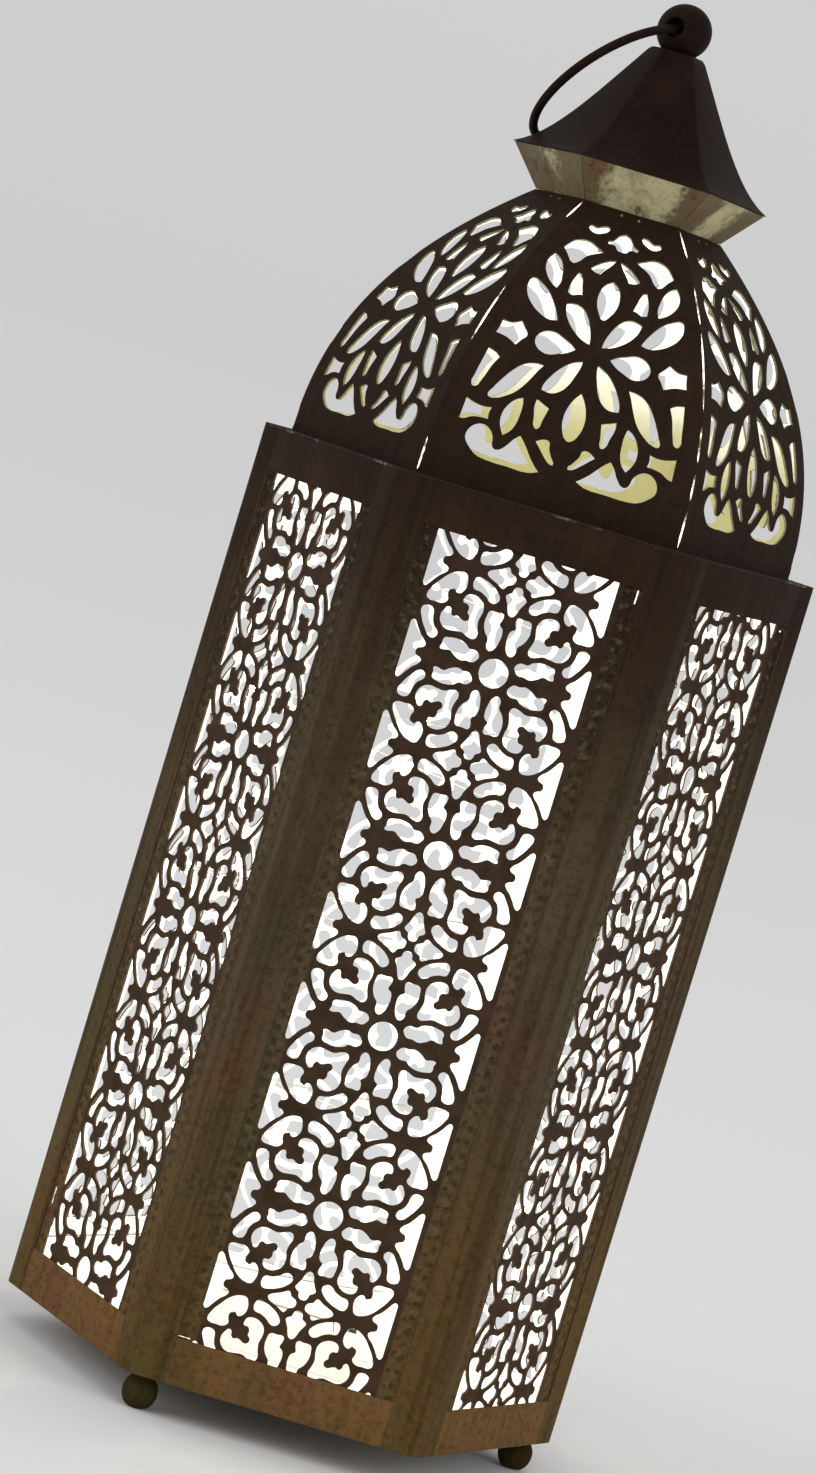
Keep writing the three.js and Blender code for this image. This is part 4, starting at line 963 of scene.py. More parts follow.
# One quarter of a repeat: millimetres right and up from the rosette's middle
QUARTER = [
    [(7.5, 5.3), (9.5, 7.7), (12.8, 7.8), (14.5, 9.2), (18, 10.2), (22, 9.9), (24.6, 8.8), (24.8, 6),
     (25.2, 4.2), (23.8, 3.6), (20.5, 4.2), (18.5, 2.8), (15, 1.4), (12.5, 2), (9.8, 2), (8.2, 3.5)],
    [(1.2, 17.5), (1.5, 13), (2.5, 10), (4.7, 8.3), (6.7, 10), (6.9, 13.2), (8.8, 15.5), (10.2, 19),
     (10.1, 23), (9.3, 25.2), (6, 25.6), (3, 25.4), (2.8, 22.5), (3.4, 20.5), (2, 19.5)],
    [(11, 13.2), (12.3, 11.2), (15, 11.4), (18, 12.6), (21, 12.3), (25, 12.1), (28, 14.2), (29, 17.5),
     (28, 20.5), (26.3, 22.2), (24.8, 21.2), (24.6, 19.8), (23.5, 18.7), (22, 19.3), (20.5, 18.9),
     (18.6, 18), (17.2, 18.5), (16.9, 20), (18.2, 21.5), (18.1, 23.3), (19, 24.8), (21, 25.2),
     (21.3, 26.5), (20.5, 28.8), (18, 29.8), (14.5, 29), (12, 26.5), (11.6, 23), (12.3, 19.5),
     (11.8, 16.5)],
    [(21.3, 31.5), (21.8, 35.5), (23, 37.4), (25.5, 37.6), (29.5, 35.8), (33, 32), (36, 27.5), (37, 24),
     (36, 22.6), (32.5, 22.2), (29.5, 22.3), (27.4, 24.3), (28, 26.5), (27.9, 28.6), (26.7, 29.2),
     (26.2, 29.5), (25, 28.2), (23.3, 28.4), (22, 29.8)],
    [(6.2, 30.5), (8.3, 28.2), (10.5, 28.6), (12.5, 30.2), (15.5, 31.6), (18.3, 32.1), (19.2, 33.5),
     (19.1, 36.5), (17.8, 37.8), (14.5, 37.4), (11, 36), (8, 33.8)],
    [(27.4, 10), (28, 7.6), (30.2, 6.9), (33.5, 10), (36, 14), (37.3, 18.3), (36.2, 19.8), (32.5, 19.8),
     (31.4, 18), (31, 15.5), (29.8, 12.6)],
]
# Right half of the upright kite, and upper half of the level kite and of the opening at the window's side
UPRIGHT_KITE = [
    (0, 38.3), (1.4, 38), (2.3, 36.6), (2.6, 35.2), (3.6, 34.6), (4.7, 33.4), (4.3, 32), (3, 29.6),
    (2.2, 27.2), (1.3, 25.6), (0, 25),
]
LEVEL_KITE = [
    (1.8, 0), (2.4, 1.7), (3.7, 2.5), (4.9, 3.1), (5.6, 4.5), (6.5, 5), (7.6, 4.6), (9.6, 3.4), (12, 2.4),
    (14, 1.3), (14.7, 0),
]
EDGE_OPENING = [
    (39.9, 11.5), (39, 12.7), (37.8, 12.2), (36.5, 10.3), (34, 7), (31.5, 4.6), (31.1, 3.2), (32.2, 2.1),
    (33.6, 1.6), (34.3, 0.5),
]
# From one rosette to the next as the tables above are drawn, millimetres
TABLE_REPEAT = 80.7


def upside_down_closed(half):
    """A half outline over the level line, closed with its mirror below it."""
    return [*half, *[p for p in mirrored(half, across=False, up=True) if abs(p[1]) > 0.01]]


def repeat_openings(pattern):
    """The openings of one repeat, each a list of points and the numbers of its sharp points."""
    half = TABLE_REPEAT / 2
    openings = []
    for quarter in QUARTER:
        for across in (False, True):
            for up in (False, True):
                openings.append([((-x if across else x), (-y if up else y)) for x, y in quarter])
    kite = whole(UPRIGHT_KITE)
    openings += [kite, [(x, -y) for x, y in kite]]
    level = upside_down_closed(LEVEL_KITE)
    openings += [[(x, y + half) for x, y in level], [(-x, y + half) for x, y in level]]
    hub = pattern.hub_radius / MM
    turns = [math.tau * i / 10 for i in range(10)]
    openings.append([(hub * math.cos(t), hub * math.sin(t)) for t in turns])
    marked = [(points, ()) for points in openings]
    edge = upside_down_closed(EDGE_OPENING)
    for side in (1, -1):
        for up in (0, half):
            marked.append(([(side * x, y + up) for x, y in edge], (0, len(edge) - 1)))
    return marked


def drawn_in(points, amount):
    """A closed outline moved inwards by so much."""
    area = sum(a[0] * b[1] - b[0] * a[1] for a, b in zip(points, [*points[1:], points[0]]))
    side = amount if area > 0 else -amount
    moved = []
    for i, (x, y) in enumerate(points):
        before, after = points[i - 1], points[(i + 1) % len(points)]
        run = Vector((after[0] - before[0], after[1] - before[1]))
        run.normalize()
        moved.append((x - run.y * side, y + run.x * side))
    return moved


def wandered(points, rng, amount):
    """An opening moved, turned and sized a little, as hand work leaves it."""
    middle = (sum(x for x, _ in points) / len(points), sum(y for _, y in points) / len(points))
    turn = rng.uniform(-1, 1) * amount * 0.08
    size = 1 + rng.uniform(-1, 1) * amount * 0.06
    shift = [rng.uniform(-1, 1) * amount for _ in range(2)]
    cos, sin = math.cos(turn) * size, math.sin(turn) * size
    moved = []
    for x, y in points:
        dx, dy = x - middle[0], y - middle[1]
        across, up = dx * cos - dy * sin, dx * sin + dy * cos
        moved.append((middle[0] + across + shift[0], middle[1] + up + shift[1]))
    return moved


def pierced_sheet(pattern, half_width, bottom, top, window, rosette, seed, shift=0.0, chinks=()):
    """A pierced panel on the front face, its outer side at y = 0."""
    rng = random.Random(pattern.seed + seed)
    openings = []
    low, high = window[0] / MM, window[1] / MM
    scale = pattern.repeat / MM / TABLE_REPEAT
    rows = range(-1, int((high - low) / (pattern.repeat / MM)) + 3)
    for row in rows:
        middle = (rosette - row * pattern.repeat) / MM
        for points, sharp in repeat_openings(pattern):
            placed = [(x * scale + shift / MM, y * scale + middle) for x, y in points]
            if not sharp:
                placed = drawn_in(wandered(placed, rng, pattern.wander / MM), pattern.web / MM)
            if max(y for _, y in placed) < low + 1 or min(y for _, y in placed) > high - 1:
                continue
            if min(y for _, y in placed) < low or max(y for _, y in placed) > high:
                placed, sharp = clipped(placed, low, high)
            openings.append((placed, sharp))
    for x, y, across, up in chinks:
        turns = [math.tau * i / 6 for i in range(6)]
        openings.append(([(x + across * math.cos(t), y + up * math.sin(t)) for t in turns], ()))
    edge = half_width / MM
    outline = [(-edge, bottom / MM), (edge, bottom / MM), (edge, top / MM), (-edge, top / MM)]
    bm = flat_sheet(outline, openings)
    faced(bm)
    return bm


def clipped(points, low, high):
    """An opening cut straight where it runs past the window, with those corners sharp."""
    kept, sharp = [], []
    for i, (x, y) in enumerate(points):
        x0, y0 = points[i - 1]
        for level in (low, high):
            if (y0 - level) * (y - level) < 0:
                share = (level - y0) / (y - y0)
                sharp.append(len(kept))
                kept.append((x0 + (x - x0) * share, level))
        if low <= y <= high:
            kept.append((x, y))
    return kept, tuple(sharp)


def part_sides(bm, outward, limit=0.8):
    """Gives a sheet's outer side its first finish, the inner side the second, and cut edges the third."""
    bm.normal_update()
    for face in bm.faces:
        out = face.normal.dot(outward(face.calc_center_median()))
        if out > 0.5:
            face.material_index = 0
        else:
            face.material_index = 1 if out < -limit else 2


def panel_piece(bm, name, place, body, node_name, depth, sheet):
    """Finishes a pierced sheet drawn at y = 0: thickness, finishes, and its place."""
    flip_outward(bm, Vector((0, 10, 0.2)))
    mark_flat(bm)
    made = bmesh.ops.extrude_face_region(bm, geom=bm.faces[:])["geom"]
    back = [g for g in made if isinstance(g, bmesh.types.BMVert)]
    bmesh.ops.translate(bm, verts=back, vec=(0, sheet, 0))
    bmesh.ops.recalc_face_normals(bm, faces=bm.faces[:])
    part_sides(bm, lambda centre: Vector((0, -1, 0)))
    shifted(bm, (0, -depth, 0))
    finishes = ["panel_patina", "body_inside", "cut_edge"]
    return finished(bm, name, finishes, body, [node_name], place)


# Chinks that light shows through at a panel's edge: millimetres across and up, half width and half height
CHINKS = {
    "front": [(46.6, 395.8, 0.3, 3.6), (-46.2, 37.3, 3.4, 0.18)],
    "front_left": [(-46.3, z, 1.6 * w, 1.6 * h) for z, w, h in (
        (62, 0.5, 3.4), (108, 0.35, 0.7), (129, 0.45, 0.6), (133, 0.3, 0.4), (158, 0.4, 0.8),
        (190, 0.35, 0.6), (196, 0.5, 0.5), (226, 0.4, 0.9), (262, 0.45, 0.6), (268, 0.3, 0.5),
        (303, 0.35, 0.7))],
    "front_right": [(46.2, 43.5, 0.45, 3.4), (44.4, 397, 1.6, 0.5)],
}
# Height of the topmost whole rosette of each panel, and how far its pattern sits off the middle, metres
ROSETTES = {
    "front": 0.3473, "front_right": 0.3245, "rear_right": 0.3762, "rear": 0.3378, "rear_left": 0.3544,
    "front_left": 0.364,
}
SIDE_SHIFTS = {"front": -0.0018, "front_right": -0.0015, "front_left": -0.0012}
# Between a panel's face and the flanges in front of it
PANEL_SEAM = 0.02 * MM


class LANTERN_OT_panels(bpy.types.Operator):
    """Cuts the six pierced panels, the door's among them"""

    bl_idname = "lantern.panels"
    bl_label = "Pierced panels"

    def execute(self, context):
        pattern, body, door = (getattr(context.scene, f"lantern_{n}") for n in ("pattern", "body", "door"))
        face_distance = body.corner_radius * FLAT
        depth = face_distance - body.sheet - PANEL_SEAM
        window_half = body.corner_radius / 2 - body.post_flange
        for number, (face, direction) in enumerate(FACES.items()):
            if face == DOOR_FACE:
                inset = door.gap + door.panel_inset
                half = window_half - inset
                low, high = pattern.window_bottom + inset, pattern.window_top - inset
                window = (low + door.strip - door.panel_inset, high - door.strip + door.panel_inset)
                names = ("door", "door_pierced_panel", "door_sheet")
            else:
                half = window_half + pattern.overlap
                low, high = pattern.window_bottom - pattern.overlap, pattern.window_top + pattern.overlap
                reach = pattern.behind_rail
                window = (pattern.window_bottom - reach, pattern.window_top + reach)
                names = ("lantern", f"pierced_panel_{face}", f"pierced_sheet_{face}")
            shift = SIDE_SHIFTS.get(face, 0.0)
            chinks = CHINKS.get(face, ())
            bm = pierced_sheet(pattern, half, low, high, window, ROSETTES[face], number, shift, chinks)
            panel_piece(bm, names[2], turned(direction), names[0], names[1], depth, pattern.sheet)
        return {"FINISHED"}


# Dome: openings of one panel, millimetres right and up from the flower's middle, right half
DOME_HALF = [
    ([(7.7, -2.2), (10.5, -0.2), (14, 1.2), (18, 2.6), (21.5, 2.2), (24.5, 0.2), (25.6, -2.5),
      (24.5, -5.4), (21.5, -7.2), (18.5, -7.5), (15, -6.3), (11, -4.6)], (0,)),
    ([(2.7, 1.6), (3, 4.5), (4.5, 9), (7, 13.5), (9.5, 15.8), (13, 16.7), (16.8, 15.8), (16, 12),
      (13.5, 8), (10, 4.8), (6, 2.5)], (0, 6)),
    ([(3.5, -6.3), (3.7, -9), (5, -13.5), (7, -18.5), (9.5, -21.5), (13, -23.2), (17, -22.8),
      (16.8, -20.5), (15, -16.5), (11.5, -11.5), (7.5, -8)], (0, 6)),
    ([(18.7, 7.3), (19.5, 9.5), (22, 14), (25.5, 18.5), (29, 21), (33.5, 22.3), (34.8, 19.5), (34.5, 16),
      (31.5, 11.5), (27, 8.3), (22.5, 6.8)], (0,)),
    ([(29.2, -2.3), (31, 0.5), (33, 3), (37, 1.2), (41, 1.3), (41.5, -1.5), (42.5, -4.8), (37.5, -5.6),
      (33, -7.7), (31.2, -5)], (2, 4, 6, 8)),
    ([(18.7, -12.5), (23, -12.8), (27, -14.5), (31, -18.5), (34, -23), (36.5, -27.5), (37.9, -31.5),
      (35, -31.8), (30.5, -29.5), (26.5, -26), (23, -20.5), (20.5, -15.5)], (0,)),
    ([(37.8, -14.5), (40, -13), (43.5, -12), (44.5, -17), (45.7, -24), (46, -29.2), (44.3, -29.6),
      (42.3, -26), (40, -19)], (0, 2)),
    ([(35, -36), (38, -36.5), (42, -36.2), (46.5, -34.8), (46.8, -39), (47.2, -44), (45.5, -43.8),
      (42, -42), (38, -41.3), (35.3, -41.3), (35.6, -38.5)], (0, 3, 5, 9)),
    ([(22.8, 21), (25.5, 22.5), (28.3, 25.5), (29.8, 29.5), (29.2, 33), (27.2, 35.7), (25, 34.5),
      (22.8, 31.5), (21.8, 27.5), (21.7, 23.5)], (0, 5)),
    ([(11.5, 21), (13, 20.8), (15.8, 19.8), (17.8, 20.5), (17.5, 24.5), (16.3, 28), (15, 30),
      (13.5, 28.5), (12.5, 25)], (0, 3)),
    ([(0.8, 39.8), (4.5, 38.5), (8, 36.3), (11.2, 33.4), (9.5, 32.3), (6.5, 31.8), (5, 34), (2.5, 37)],
      (0, 3, 5)),
    ([(7.5, 41.5), (11, 43.2), (14.5, 44.6), (20, 43.8), (21.5, 42.8), (24.8, 39), (22.5, 36.5),
      (19.5, 33.3), (17.5, 34), (14, 38), (10.5, 40)], (0, 5)),
    ([(7.3, 52.7), (9.5, 53), (13, 51.5), (15.3, 52), (16.3, 50.8), (15, 49.3), (12.5, 48.7), (10, 49.5),
      (8, 50.7)], ()),
    ([(23, -28.3), (25.5, -29.5), (28.5, -33), (30, -37.5), (29.5, -42), (27.3, -46), (25, -44),
      (23.2, -40.5), (22.5, -36), (22.4, -31)], (0, 5)),
    ([(11.5, -29.5), (14, -28.5), (17.5, -27), (17.8, -30), (16.8, -34.5), (15.5, -39), (14, -39.3),
      (12.8, -35)], (0, 2)),
    ([(7.5, -42.8), (10, -42.5), (13.3, -44.3), (11, -46.5), (8, -49.5), (4.5, -52), (3.2, -51.8),
      (4.8, -49), (6.8, -45.5)], (2,)),
    ([(8, -56.2), (10, -54.5), (13, -51.5), (17, -46.5), (19.8, -43.8), (22, -46), (25, -50.5),
      (28, -52.6), (30, -51.5), (30.8, -48), (33, -45), (36.5, -43.8), (40, -45.3), (42, -48.5),
      (42, -51.5), (39.5, -54.5), (36, -57), (31, -58), (22, -58), (12, -57.8)], (0, 4)),
    ([(3.9, 59.1), (4.5, 59.7), (3.9, 60.3), (3.3, 59.7)], ()),
]
DOME_MIDDLE = [
    whole([(0, 30.5), (3.2, 28), (4.6, 24), (4.4, 19.5), (2.5, 15.5), (0, 13)]),
    whole([(0, -19.5), (2.2, -22.5), (4.2, -27.5), (4.7, -31.5), (3.8, -36.5), (1, -40.6)]),
    whole([(0, 52.2), (2.5, 51), (4.5, 48.2), (7, 46.5), (3.5, 46), (2, 44.3), (0, 44)]),
]
# Controls of the dome's line, as shares of its overhang and height
DOME_LINE_SHARES = ((1, 0), (1, 0.364), (0.747, 0.665), (0, 1))
# Open stretches of a ridge, as millimetres up from the flower's middle
RIDGE_SLITS = {
    "front_left": [(-70, -56), (-11, 15), (52, 60)],
    "front_right": [(-70, -54), (-50, -38), (-33, -18), (-11, 20), (24, 38), (50, 60)],
    "right": [(-66, -58), (0, 14)],
    "rear_right": [(-69, -57), (-20, -6), (30, 44)],
    "rear_left": [(-68, -59), (10, 26)],
    "left": [(-70, -60), (-30, -20), (12, 20)],
}


def bend_points(controls, steps):
    """Points along a cubic curve."""
    line = []
    for i in range(steps + 1):
        t = i / steps
        weights = ((1 - t) ** 3, 3 * (1 - t) ** 2 * t, 3 * (1 - t) * t * t, t**3)
        line.append(weighed(weights, controls))
    return line


def dome_line(body, dome, steps=160):
    """The dome's line at a corner, from the rim to the neck."""
    overhang = body.corner_radius - body.rim_ledge - dome.neck_radius
    bottom = body.rim_top + body.seat_gap
    shares = DOME_LINE_SHARES
    controls = [(dome.neck_radius + overhang * out, bottom + dome.height * up) for out, up in shares]
    return bend_points(controls, steps)


def radius_at(line, height):
    """The corner radius of the dome at a height."""
    for (r0, z0), (r1, z1) in zip(line, line[1:]):
        if height <= z1:
            return r0 + (r1 - r0) * max(0.0, (height - z0) / (z1 - z0))
    return line[-1][0]


def outward_at(line):
    """The way out of the front dome panel at a point of it."""

    def outward(point):
        """The way out at one point, from the line's slope round it."""
        step = 2 * MM
        run = (radius_at(line, point.z + step) - radius_at(line, point.z - step)) * FLAT
        return Vector((0, -2 * step, -run)).normalized()

    return outward


def slit_depth(dome, slits, height):
    """How far a ridge's edge stands back at a height: nothing but where a slit is."""
    depth = 0.0
    for low, high in slits:
        middle, half = dome.flower_height + (low + high) / 2 * MM, (high - low) / 2 * MM
        share = abs(height - middle) / half
        if share < 1:
            depth = dome.slit_width * (1 - share**4)
    return depth


def dome_sheet(body, dome, direction, seed):
    """One bent dome panel on the front face, with the slits of the two ridges beside it."""
    line = dome_line(body, dome)
    bottom, top = line[0][1] - body.seat_gap, line[-1][1]
    ridges = {round(CORNERS[name]): slits for name, slits in RIDGE_SLITS.items()}
    slope = math.tan(math.pi / SIDES)
    rng = random.Random(seed)
    middle = dome.flower_height / MM
    side_wander, middle_wander = 0.18, 0.15
    openings = []
    for points, sharp in DOME_HALF:
        for side in (1, -1):
            placed = wandered([(side * x, y + middle) for x, y in points], rng, side_wander)
            openings.append((placed, sharp))
    for points in DOME_MIDDLE:
        placed = wandered([(x, y + middle) for x, y in points], rng, middle_wander)
        openings.append((placed, (0,)))
    edge_steps = 132
    levels = [bottom + (top - bottom) * i / edge_steps for i in range(edge_steps + 1)]
    edges = []
    for side in (1, -1):
        slits = ridges[(direction + side * 180 // SIDES) % 360]
        halves = [radius_at(line, z) * FLAT * slope - slit_depth(dome, slits, z) for z in levels]
        edges.append([(side * half / MM, z / MM) for half, z in zip(halves, levels)])
    bm = flat_sheet([*edges[0], *reversed(edges[1])], openings)
    faced(bm)
    rows = int((top - bottom) / dome.row)
    for row in range(1, rows):
        level = bottom + (top - bottom) * row / rows
        geometry = [*bm.verts, *bm.edges, *bm.faces]
        bmesh.ops.bisect_plane(bm, geom=geometry, dist=1e-7, plane_co=(0, 0, level), plane_no=(0, 0, 1))
    flip_outward(bm, Vector((0, 10, 0.48)))
    mark_flat(bm)
    for vert in bm.verts:
        vert.co.y = -radius_at(line, vert.co.z) * FLAT
    bm.normal_update()
    return bm


class LANTERN_OT_dome(bpy.types.Operator):
    """Cuts and bends the six dome panels, with slits left open along their ridges"""

    bl_idname = "lantern.dome"
    bl_label = "Dome"

    def execute(self, context):
        body, dome = context.scene.lantern_body, context.scene.lantern_dome
        line = dome_line(body, dome)
        for number, (face, direction) in enumerate(FACES.items()):
            bm = dome_sheet(body, dome, direction, number)
            bmesh.ops.solidify(bm, geom=bm.faces[:], thickness=body.sheet)
            bottom, top = line[0][1] - body.seat_gap, line[-1][1]
            for vert in bm.verts:
                vert.co.z = min(max(vert.co.z, bottom), top)
            part_sides(bm, outward_at(line))
            # Painted glow: cut edges beside the ridges get the lit_seam emission.
            self.light_seams(bm, line, dome.slit_width + body.sheet * 0.4)
            finishes = ["dome_patina", "dome_inside", "dome_cut_edge", "lit_seam"]
            place, nodes = turned(direction), [f"dome_panel_{face}"]
            finished(bm, f"dome_sheet_{face}", finishes, "lantern", nodes, place, 50)
        return {"FINISHED"}

    def light_seams(self, bm, line, reach):
        """Gives the fourth finish, the painted seam glow, to the cut edges within reach of a ridge."""
        slope = FLAT * math.tan(math.pi / SIDES)
        for face in bm.faces:
            middle = face.calc_center_median()
            if face.material_index == 2 and abs(middle.x) > radius_at(line, middle.z) * slope - reach:
                face.material_index = 3


# Cap, ball and ring


def heights(scene):
    """Heights of the skirt's foot, the eave, the crown, the ball's seat and the ball's middle."""
    body, dome = scene.lantern_body, scene.lantern_dome
    neck = body.rim_top + body.seat_gap + dome.height
    skirt = neck + body.seat_gap
    eave = skirt + dome.skirt_height + body.seat_gap
    crown = eave + dome.cap_height + dome.crown_step
    seat = crown + body.seat_gap
    ball = seat + math.sqrt(dome.ball_radius**2 - dome.ball_seat**2)
    return skirt, eave, crown, seat, ball


# Inner controls of the roof's line, as shares of its overhang and height
CAP_BEND_SHARES = ((0.653, 0.122), (0.365, 0.54))


class LANTERN_OT_cap(bpy.types.Operator):
    """Forms the six-sided roof of the cap and the skirt under it"""

    bl_idname = "lantern.cap"
    bl_label = "Cap"

    def execute(self, context):
        body, dome = context.scene.lantern_body, context.scene.lantern_dome
        skirt, eave, crown, _, _ = heights(context.scene)
        span, shoulder = dome.eave_radius - dome.shoulder_radius, crown - dome.crown_step
        bends = [(dome.shoulder_radius + span * x, eave + dome.cap_height * z) for x, z in CAP_BEND_SHARES]
        controls = [(dome.eave_radius, eave), *bends, (dome.shoulder_radius, shoulder)]
        steps = 22
        line = bend_points(controls, steps)
        inner = [(dome.eave_radius - dome.eave_edge, eave)]
        for (x0, z0), (x, z) in zip(line, line[1:]):
            along = Vector(((x - x0) * FLAT, z - z0)).normalized()
            inner.append((x - body.sheet * along.y / FLAT, max(z + body.sheet * along.x, eave + 0.2 * MM)))
        hole = dome.crown_hole / FLAT
        outer = [*line, (dome.crown_radius, crown), (hole, crown)]
        inner += [(dome.crown_radius - body.sheet, crown - body.sheet), (hole, crown - body.sheet)]
        ring = [*outer, *reversed(inner), outer[0]]
        bm = spun([(x, 0, z) for x, z in ring], SIDES)
        ridges = [e for e in hard_edges(bm, 20) if self.is_ridge(e, dome.shoulder_radius)]
        ridge_round, edge_round, shortest = 1.3 * MM, 0.25 * MM, 4 * MM
        bevelled(bm, ridges, ridge_round, 3)
        bevelled(bm, [e for e in hard_edges(bm, 60) if e.calc_length() > shortest], edge_round)
        finished(bm, "roof", ["cap_patina"], "lantern", ["cap_roof"], sharp=28)
        top = dome.eave_radius - dome.eave_return
        high = skirt + dome.skirt_height
        bm = bmesh.new()
        for direction in FACES.values():
            side = self.skirt_side(dome, body, skirt, high, top)
            bmesh.ops.transform(side, matrix=turned(direction), verts=side.verts)
            added(bm, side)
        bmesh.ops.recalc_face_normals(bm, faces=bm.faces[:])
        finished(bm, "skirt", ["skirt_patina"], "lantern", ["cap_skirt"])
        return {"FINISHED"}

    def is_ridge(self, edge, least):
        """Whether an edge runs up a corner of the roof, no nearer the axis than the shoulder."""
        a, b = (vert.co for vert in edge.verts)
        turns = [math.degrees(math.atan2(place.y, place.x)) % 60 for place in (a, b)]
        on_corner = all(min(turn, 60 - turn) < 0.5 for turn in turns)
        return on_corner and abs(a.z - b.z) > 0.4 * MM and min(a.xy.length, b.xy.length) >= least * 0.9

    def skirt_side(self, dome, body, low, high, top):
        """The front side of the skirt, its ends a hair short of the corners."""
        near = 0.25 * MM
        bm = bmesh.new()
        neck = dome.neck_radius
        ends = [bm.verts.new((side * (neck / 2 - near), -neck * FLAT, low)) for side in (-1, 1)]
        made = bmesh.ops.extrude_edge_only(bm, edges=[bm.edges.new(ends)])["geom"]
        for vert in [v for v in made if isinstance(v, bmesh.types.BMVert)]:
            vert.co = (math.copysign(top / 2 - near, vert.co.x), -top * FLAT, high)
        flip_outward(bm, Vector((0, 0, low)))
        bmesh.ops.subdivide_edges(bm, edges=bm.edges[:], cuts=6, use_grid_fill=True)
        bmesh.ops.solidify(bm, geom=bm.faces[:], thickness=body.sheet * 0.8)
        for vert in bm.verts:
            vert.co.z = min(max(vert.co.z, low), high)
        return bm


class LANTERN_OT_finial(bpy.types.Operator):
    """Turns the ball about its cross-hole, flattens its seat, and bends the ring"""

    bl_idname = "lantern.finial"
    bl_label = "Ball and ring"

    def execute(self, context):
        dome = context.scene.lantern_dome
        *_, seat, ball = heights(context.scene)
        sag = dome.ring_radius - math.sqrt(dome.ring_radius**2 - dome.ball_radius**2)
        bore = dome.ring_wire + sag + dome.ring_clearance
        mouth = math.asin(bore / dome.ball_radius)
        arc = [mouth + (math.pi - 2 * mouth) * i / 24 for i in range(25)]
        line = [(dome.ball_radius * math.cos(t), 0, dome.ball_radius * math.sin(t)) for t in arc]
        inside = [(line[-1][0] * (1 - 2 * i / 6), 0, bore) for i in range(1, 6)]
        bm = spun([*line, *inside, line[0]], 40, axis=(1, 0, 0))
        lip_round = 0.6 * MM
        bevelled(bm, hard_edges(bm, 35), lip_round, 3)
        spin = Matrix.Translation((0, 0, ball)) @ Matrix.Rotation(dome.ring_turn, 4, "Z")
        bmesh.ops.transform(bm, matrix=spin, verts=bm.verts)
        geometry = [*bm.verts, *bm.edges, *bm.faces]
        made = bmesh.ops.bisect_plane(
            bm, geom=geometry, dist=1e-7, plane_co=(0, 0, seat), plane_no=(0, 0, -1), clear_outer=True
        )
        rim = [g for g in made["geom_cut"] if isinstance(g, bmesh.types.BMEdge)]
        bmesh.ops.holes_fill(bm, edges=rim, sides=0)
        bmesh.ops.recalc_face_normals(bm, faces=bm.faces[:])
        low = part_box("ball_finial")[0].z
        thick = dome.ball_stud
        line = [(0, low), (thick * 0.7, low), (thick, low + thick * 0.3), (thick, seat), (0, seat)]
        added(bm, spun([(r, 0, z) for r, z in line], 24))
        finished(bm, "ball", ["cap_patina"], "lantern", ["ball_finial"], sharp=40)
        bm = bmesh.new()
        made = bmesh.ops.create_circle(bm, cap_ends=False, segments=16, radius=dome.ring_wire)["verts"]
        bmesh.ops.rotate(bm, verts=made, matrix=Matrix.Rotation(math.pi / 2, 3, "Y"))
        geometry = [*bm.verts, *bm.edges]
        hub = (0, dome.ring_radius, 0)
        bmesh.ops.spin(bm, geom=geometry, cent=hub, axis=(0, 0, 1), angle=math.tau, steps=96, use_merge=True)
        bmesh.ops.remove_doubles(bm, verts=bm.verts, dist=1e-6)
        bmesh.ops.recalc_face_normals(bm, faces=bm.faces[:])
        place = spin @ Matrix.Rotation(-dome.ring_drop, 4, "X")
        finished(bm, "ring", ["cap_patina"], "ring", ["ring_handle"], place, 60)
        return {"FINISHED"}


# Door fittings


def plate(low, high, edge, segments=2):
    """A flat plate between two corners with worn edges."""
    bm = bmesh.new()
    bmesh.ops.create_cube(bm, size=1)
    size, middle = Vector(high) - Vector(low), (Vector(high) + Vector(low)) / 2
    bmesh.ops.scale(bm, vec=size, verts=bm.verts)
    shifted(bm, middle)
    bevelled(bm, bm.edges[:], edge, segments)
    return bm


def added(bm, other):
    """Adds the faces of another bmesh, which ends."""
    mesh = bpy.data.meshes.new("part")
    other.to_mesh(mesh)
    other.free()
    bm.from_mesh(mesh)
    bpy.data.meshes.remove(mesh)


def knuckle(door, x, y, low, high):
    """One knuckle of a hinge: a short thick-walled tube with soft ends."""
    soft = 0.2 * MM
    bore, out = door.pin + 0.2 * MM, door.barrel
    foot, head = [(out - soft, low), (out, low + soft)], [(out, high - soft), (out - soft, high)]
    line = [(bore, low), *foot, *head, (bore, high), (bore, low)]
    bm = spun([(r, 0, z) for r, z in line], 24)
    shifted(bm, (x, y, 0))
    return bm


def rivet(x, y, z, radius):
    """A low domed rivet head on the front of a leaf."""
    turns = [math.pi / 2 * i / 4 for i in range(5)]
    line = [(radius * math.sin(t), 0, radius * 0.5 * math.cos(t)) for t in turns]
    bm = spun([*line, (0, 0, 0)], 14)
    faced(bm)
    shifted(bm, (x, y, z))
    return bm


def hinge_leaf(door, side, hinge_x, back, low, places, gap):
    """A hinge's leaf with its knuckles and three rivets."""
    size = door.hinge_height / 3
    clear = door.barrel + door.gap
    near, far = hinge_x + side * clear, hinge_x + side * (clear + door.leaf_width)
    front = back - door.leaf_sheet
    bm = plate((min(near, far), front, low), (max(near, far), back, low + door.hinge_height), 0.15 * MM)
    y = back - door.barrel
    for place in places:
        bottom = low + place * size + gap / 2
        top = bottom + size - gap
        tab = sorted((hinge_x + side * 0.8 * door.barrel, near + side * 0.4 * MM))
        added(bm, plate((tab[0], front, bottom), (tab[1], back, top), 0.12 * MM))
        added(bm, knuckle(door, hinge_x, y, bottom, top))
    for step in (0.2, 0.5, 0.8):
        height = low + door.hinge_height * step
        added(bm, rivet((near + far) / 2 + side * 0.6 * MM, front + 0.05 * MM, height, 1.1 * MM))
    return bm


